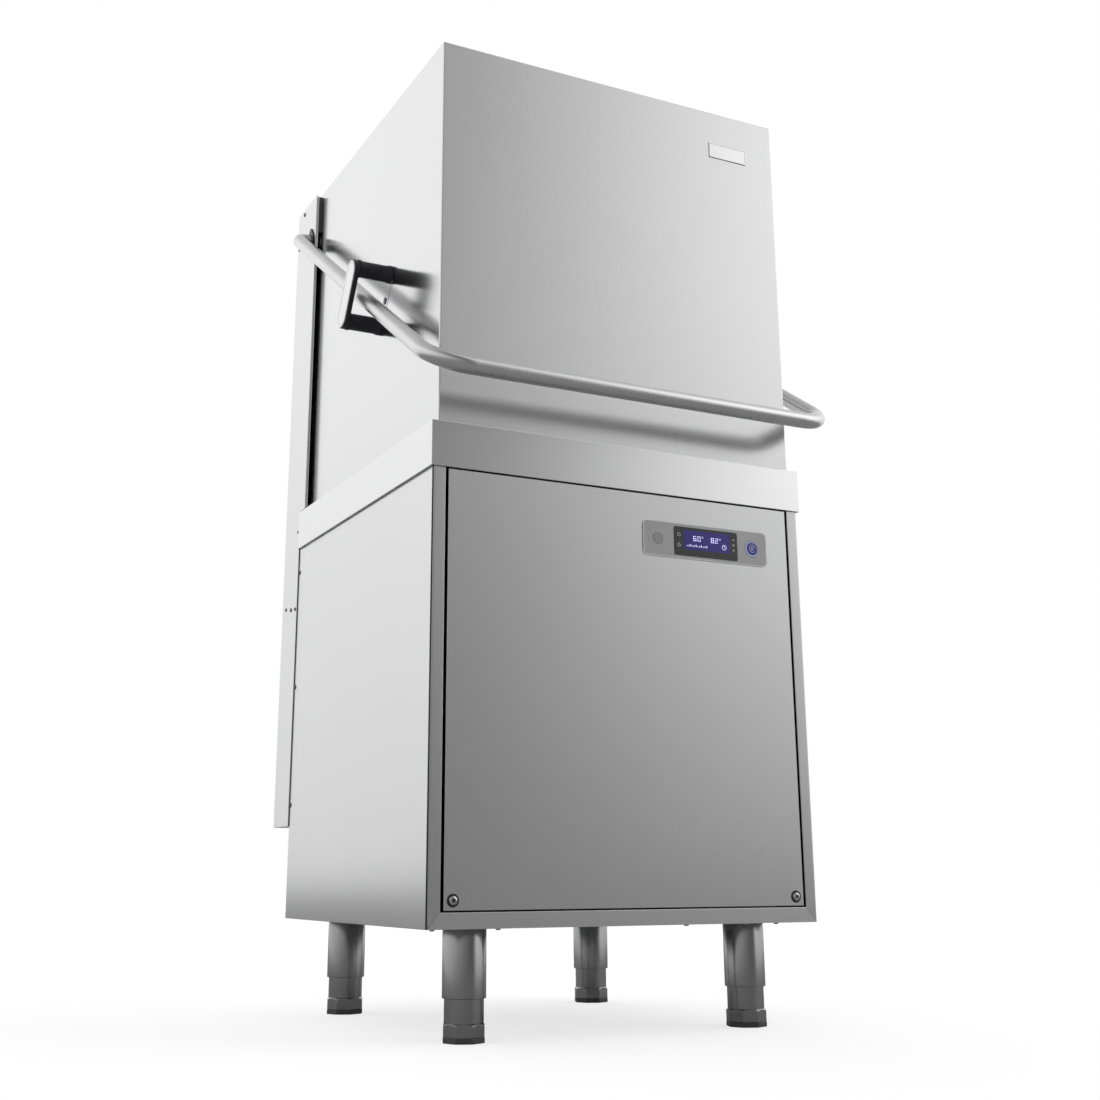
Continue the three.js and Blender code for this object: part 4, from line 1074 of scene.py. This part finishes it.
def drain_hose():
    """A ribbed hose with a smooth cuff where it leaves the back."""
    path = bent_path(DRAIN, (0, 25, 25, 25, 0), 12)
    dense = []
    for a, b in zip(path, path[1:]):
        count = max(1, round((b - a).length / RIB["step"]))
        dense += [a.lerp(b, i / count) for i in range(count)]
    dense.append(path[-1])
    cuff = len(dense) - RIB["cuff"]
    radii = [RIB["crest"] if i % 4 < 2 or i > cuff else RIB["valley"] for i in range(len(dense))]
    bm = bmesh.new()
    sweep(bm, dense, radii, 24, wall=2.5)
    piece("drain_hose_ribbed", bm, "cabinet", "black_hose", hose_rubber, stands_for="drain_hose", angle=60)


def smooth_hoses():
    """The hose from the wash pump up to the riser, and the pipe from the tank down to the pump."""
    bm = bmesh.new()
    sweep(bm, bent_path(WASH, (0, 30, 30, 0), 10), 17, 32, wall=3)
    piece("wash_hose_smooth", bm, "cabinet", "black_hose", hose_rubber, stands_for="wash_hose")
    bm = bmesh.new()
    sweep(bm, bent_path(SUCTION, (0, 35, 0), 12), 20, 32, wall=2.5)
    piece("suction_pipe_smooth", bm, "cabinet", "black_hose", hose_rubber, stands_for="suction_pipe")


drain_hose()
smooth_hoses()

# ---- wash and rinse arms


def arm_place(z, degrees):
    """The foot of an arm's hub on the spindle, with the arm turned by this angle."""
    spindle_y = -5
    return Matrix.Translation((0, spindle_y * MM, z * MM)) @ Matrix.Rotation(math.radians(degrees), 4, "Z")


def wash_arm(name, z, degrees, face_up):
    """A pressed hollow blade each way from a hub, with round jets towards the rack."""
    place = arm_place(z, degrees)
    hub = 18
    levels = [(0.80, 2), (0.95, 3), (1.0, 6), (1.0, 11), (0.95, 14), (0.80, 15)]
    foot, tip = 14.6, 16
    if not face_up:
        levels = [(k, hub - h) for k, h in reversed(levels)]
        foot, tip = hub - foot, hub - tip
    outline = rounded((-225, 225), (-19, 19), 18.5, 12)
    bm = bmesh.new()
    loft(bm, [placed([(x * (0.91 + 0.09 * k), y * k) for x, y in outline], h, place) for k, h in levels])
    turned(bm, [(9.4, 0), (25, 0), (26, 1), (26, hub - 1), (25, hub), (9.4, hub)], place, 40, closed=True)
    for side in SIDES.values():
        for i in range(4):
            spot = place @ Matrix.Translation((side * (60 + 48 * i) * MM, 0, 0))
            turned(bm, [(6.5, foot), (5.5, tip), (2.2, tip), (1.6, foot)], spot, 20, closed=True)
    piece(name + "_blade", bm, name, "satin_tube", satin_steel, stands_for=name, angle=40)


def rinse_arm(name, z, degrees, face_up):
    """A thin tube each way from a hub with small fan jets."""
    place = arm_place(z, degrees)
    up = 1 if face_up else -1
    hub = 16
    tube = [(6.5, 12), (6.5, 212), (5.5, 214.4), (3, 215)]
    jet = [(4.4, up * 5), (4.2, up * 7), (3, up * 9), (0.6, up * 9)]
    bm = bmesh.new()
    for side in SIDES.values():
        middle = place @ Matrix.Translation((0, 0, hub / 2 * MM))
        turned(bm, tube, middle @ Matrix.Rotation(side * QUARTER, 4, "Y"), 24)
        for i in range(3):
            turned(bm, jet, middle @ Matrix.Translation((side * (60 + 60 * i) * MM, 0, 0)), 16)
    turned(bm, [(9.4, 0), (17, 0), (18, 1), (18, hub - 1), (17, hub), (9.4, hub)], place, 36, closed=True)
    piece(name + "_tube", bm, name, "satin_tube", satin_steel, stands_for=name, angle=40)


wash_arm("lower_wash_arm", 786.4, 20, True)
rinse_arm("lower_rinse_arm", 805.2, 65, True)
wash_arm("upper_wash_arm", 1303.6, -20, False)
rinse_arm("upper_rinse_arm", 1286.8, -65, False)

# ---- floor, light and camera


def floor():
    """A white floor that shows the object's shadow to the camera and throws less light back at the object."""
    half = 14
    corners = ((-half, -half), (half, -half), (half, half), (-half, half))
    bm = bmesh.new()
    bm.faces.new([bm.verts.new((x, y, 0)) for x, y in corners])
    s = Shader("studio_floor", (0.8, 0.8, 0.8), 0.0, 0.9)
    seen = s.node("ShaderNodeLightPath").outputs["Is Camera Ray"]
    s.set({"Emission Color": (1, 1, 1), "Emission Strength": s.spread(seen, 0.0, 0.70, 0, 1),
           "Specular IOR Level": 0.0, "Base Color": s.mix(seen, (0.36, 0.36, 0.36), (0.45, 0.45, 0.45))})
    new_object("studio_floor", bm, s.material)


# Brightness of the surroundings by compass direction, in degrees from straight ahead of the front face,
# positive towards the machine's right: high up, and near the horizon. The dim part shades the front faces.
AROUND_HIGH = ((-180, 1.14), (-120, 1.12), (-70, 0.9), (-30, 0.56), (-8, 0.32), (8, 0.2), (20, 0.18),
               (29, 0.52), (38, 1.75), (60, 1.6), (110, 1.1), (180, 1.14))
AROUND_LOW = ((-180, 0.95), (-120, 0.86), (-70, 0.5), (-30, 0.3), (-8, 0.24), (8, 0.2), (20, 0.2), (29, 0.3),
              (38, 0.64), (60, 0.85), (110, 0.85), (180, 0.95))
OVERHEAD = 0.55
BACKDROP = 1.0


def ring_of_light(nodes, compass, levels, top):
    """Brightness by compass direction, as a share of the brightest."""
    ramp = nodes.node("ShaderNodeValToRGB")
    ramp.color_ramp.interpolation = "CARDINAL"
    elements = ramp.color_ramp.elements
    elements.remove(elements[-1])
    for i, (angle, value) in enumerate(levels):
        place = (angle + 180) / 360
        element = elements[0] if i == 0 else elements.new(place)
        element.position = place
        element.color = (value / top,) * 3 + (1,)
    nodes.link(compass, ramp.inputs["Fac"])
    return ramp.outputs["Color"]


def surroundings():
    """Light from all round that changes with direction and height, and a plain backdrop for the camera."""
    world = bpy.data.worlds.new("studio")
    bpy.context.scene.world = world
    world.use_nodes = True
    world.node_tree.nodes.clear()
    nodes = Nodes(world.node_tree)
    direction = nodes.node("ShaderNodeTexCoord").outputs["Generated"]
    x, y, z = (nodes.part_of(direction, i) for i in range(3))
    heading = nodes.math("ARCTAN2", x, nodes.math("MULTIPLY", y, -1))
    compass = nodes.spread(heading, 0, 1, -math.pi, math.pi)
    top = max(value for _, value in AROUND_HIGH)
    low, high = (ring_of_light(nodes, compass, levels, top) for levels in (AROUND_LOW, AROUND_HIGH))
    height = nodes.spread(z, 0, 1, -0.05, 0.42, interpolation_type="SMOOTHSTEP")
    above = nodes.spread(z, top, OVERHEAD * top, 0.5, 0.9, interpolation_type="SMOOTHSTEP")
    light = nodes.node("ShaderNodeBackground")
    nodes.put(above, light.inputs["Strength"])
    nodes.put(nodes.mix(height, low, high), light.inputs["Color"])
    plain = nodes.node("ShaderNodeBackground")
    nodes.put((BACKDROP, BACKDROP, BACKDROP), plain.inputs["Color"])
    mix = nodes.node("ShaderNodeMixShader")
    path = nodes.node("ShaderNodeLightPath")
    for i, out in enumerate((path.outputs["Is Camera Ray"], light.outputs[0], plain.outputs[0])):
        nodes.link(out, mix.inputs[i])
    nodes.link(mix.outputs[0], nodes.node("ShaderNodeOutputWorld").inputs["Surface"])


CAMERA = {"place": (-1.0646, -2.1058, 0.2179), "yaw": 26.62, "pitch": 15.146, "roll": -0.161, "lens": 47.059,
          "shift": (0.0182, -0.06)}


def camera():
    data = bpy.data.cameras.new("camera")
    data.lens = CAMERA["lens"]
    data.sensor_width = 36
    data.shift_x, data.shift_y = CAMERA["shift"]
    data.clip_start, data.clip_end = 0.05, 60
    made = bpy.data.objects.new("camera", data)
    bpy.context.scene.collection.objects.link(made)
    yaw, pitch, roll = (math.radians(CAMERA[key]) for key in ("yaw", "pitch", "roll"))
    aim = Matrix.Rotation(-yaw, 4, "Z") @ Matrix.Rotation(QUARTER + pitch, 4, "X")
    made.matrix_world = Matrix.Translation(CAMERA["place"]) @ aim @ Matrix.Rotation(roll, 4, "Z")
    bpy.context.scene.camera = made


floor()
surroundings()
camera()
view = bpy.context.scene.view_settings
view.view_transform = "Standard"
view.look = "None"
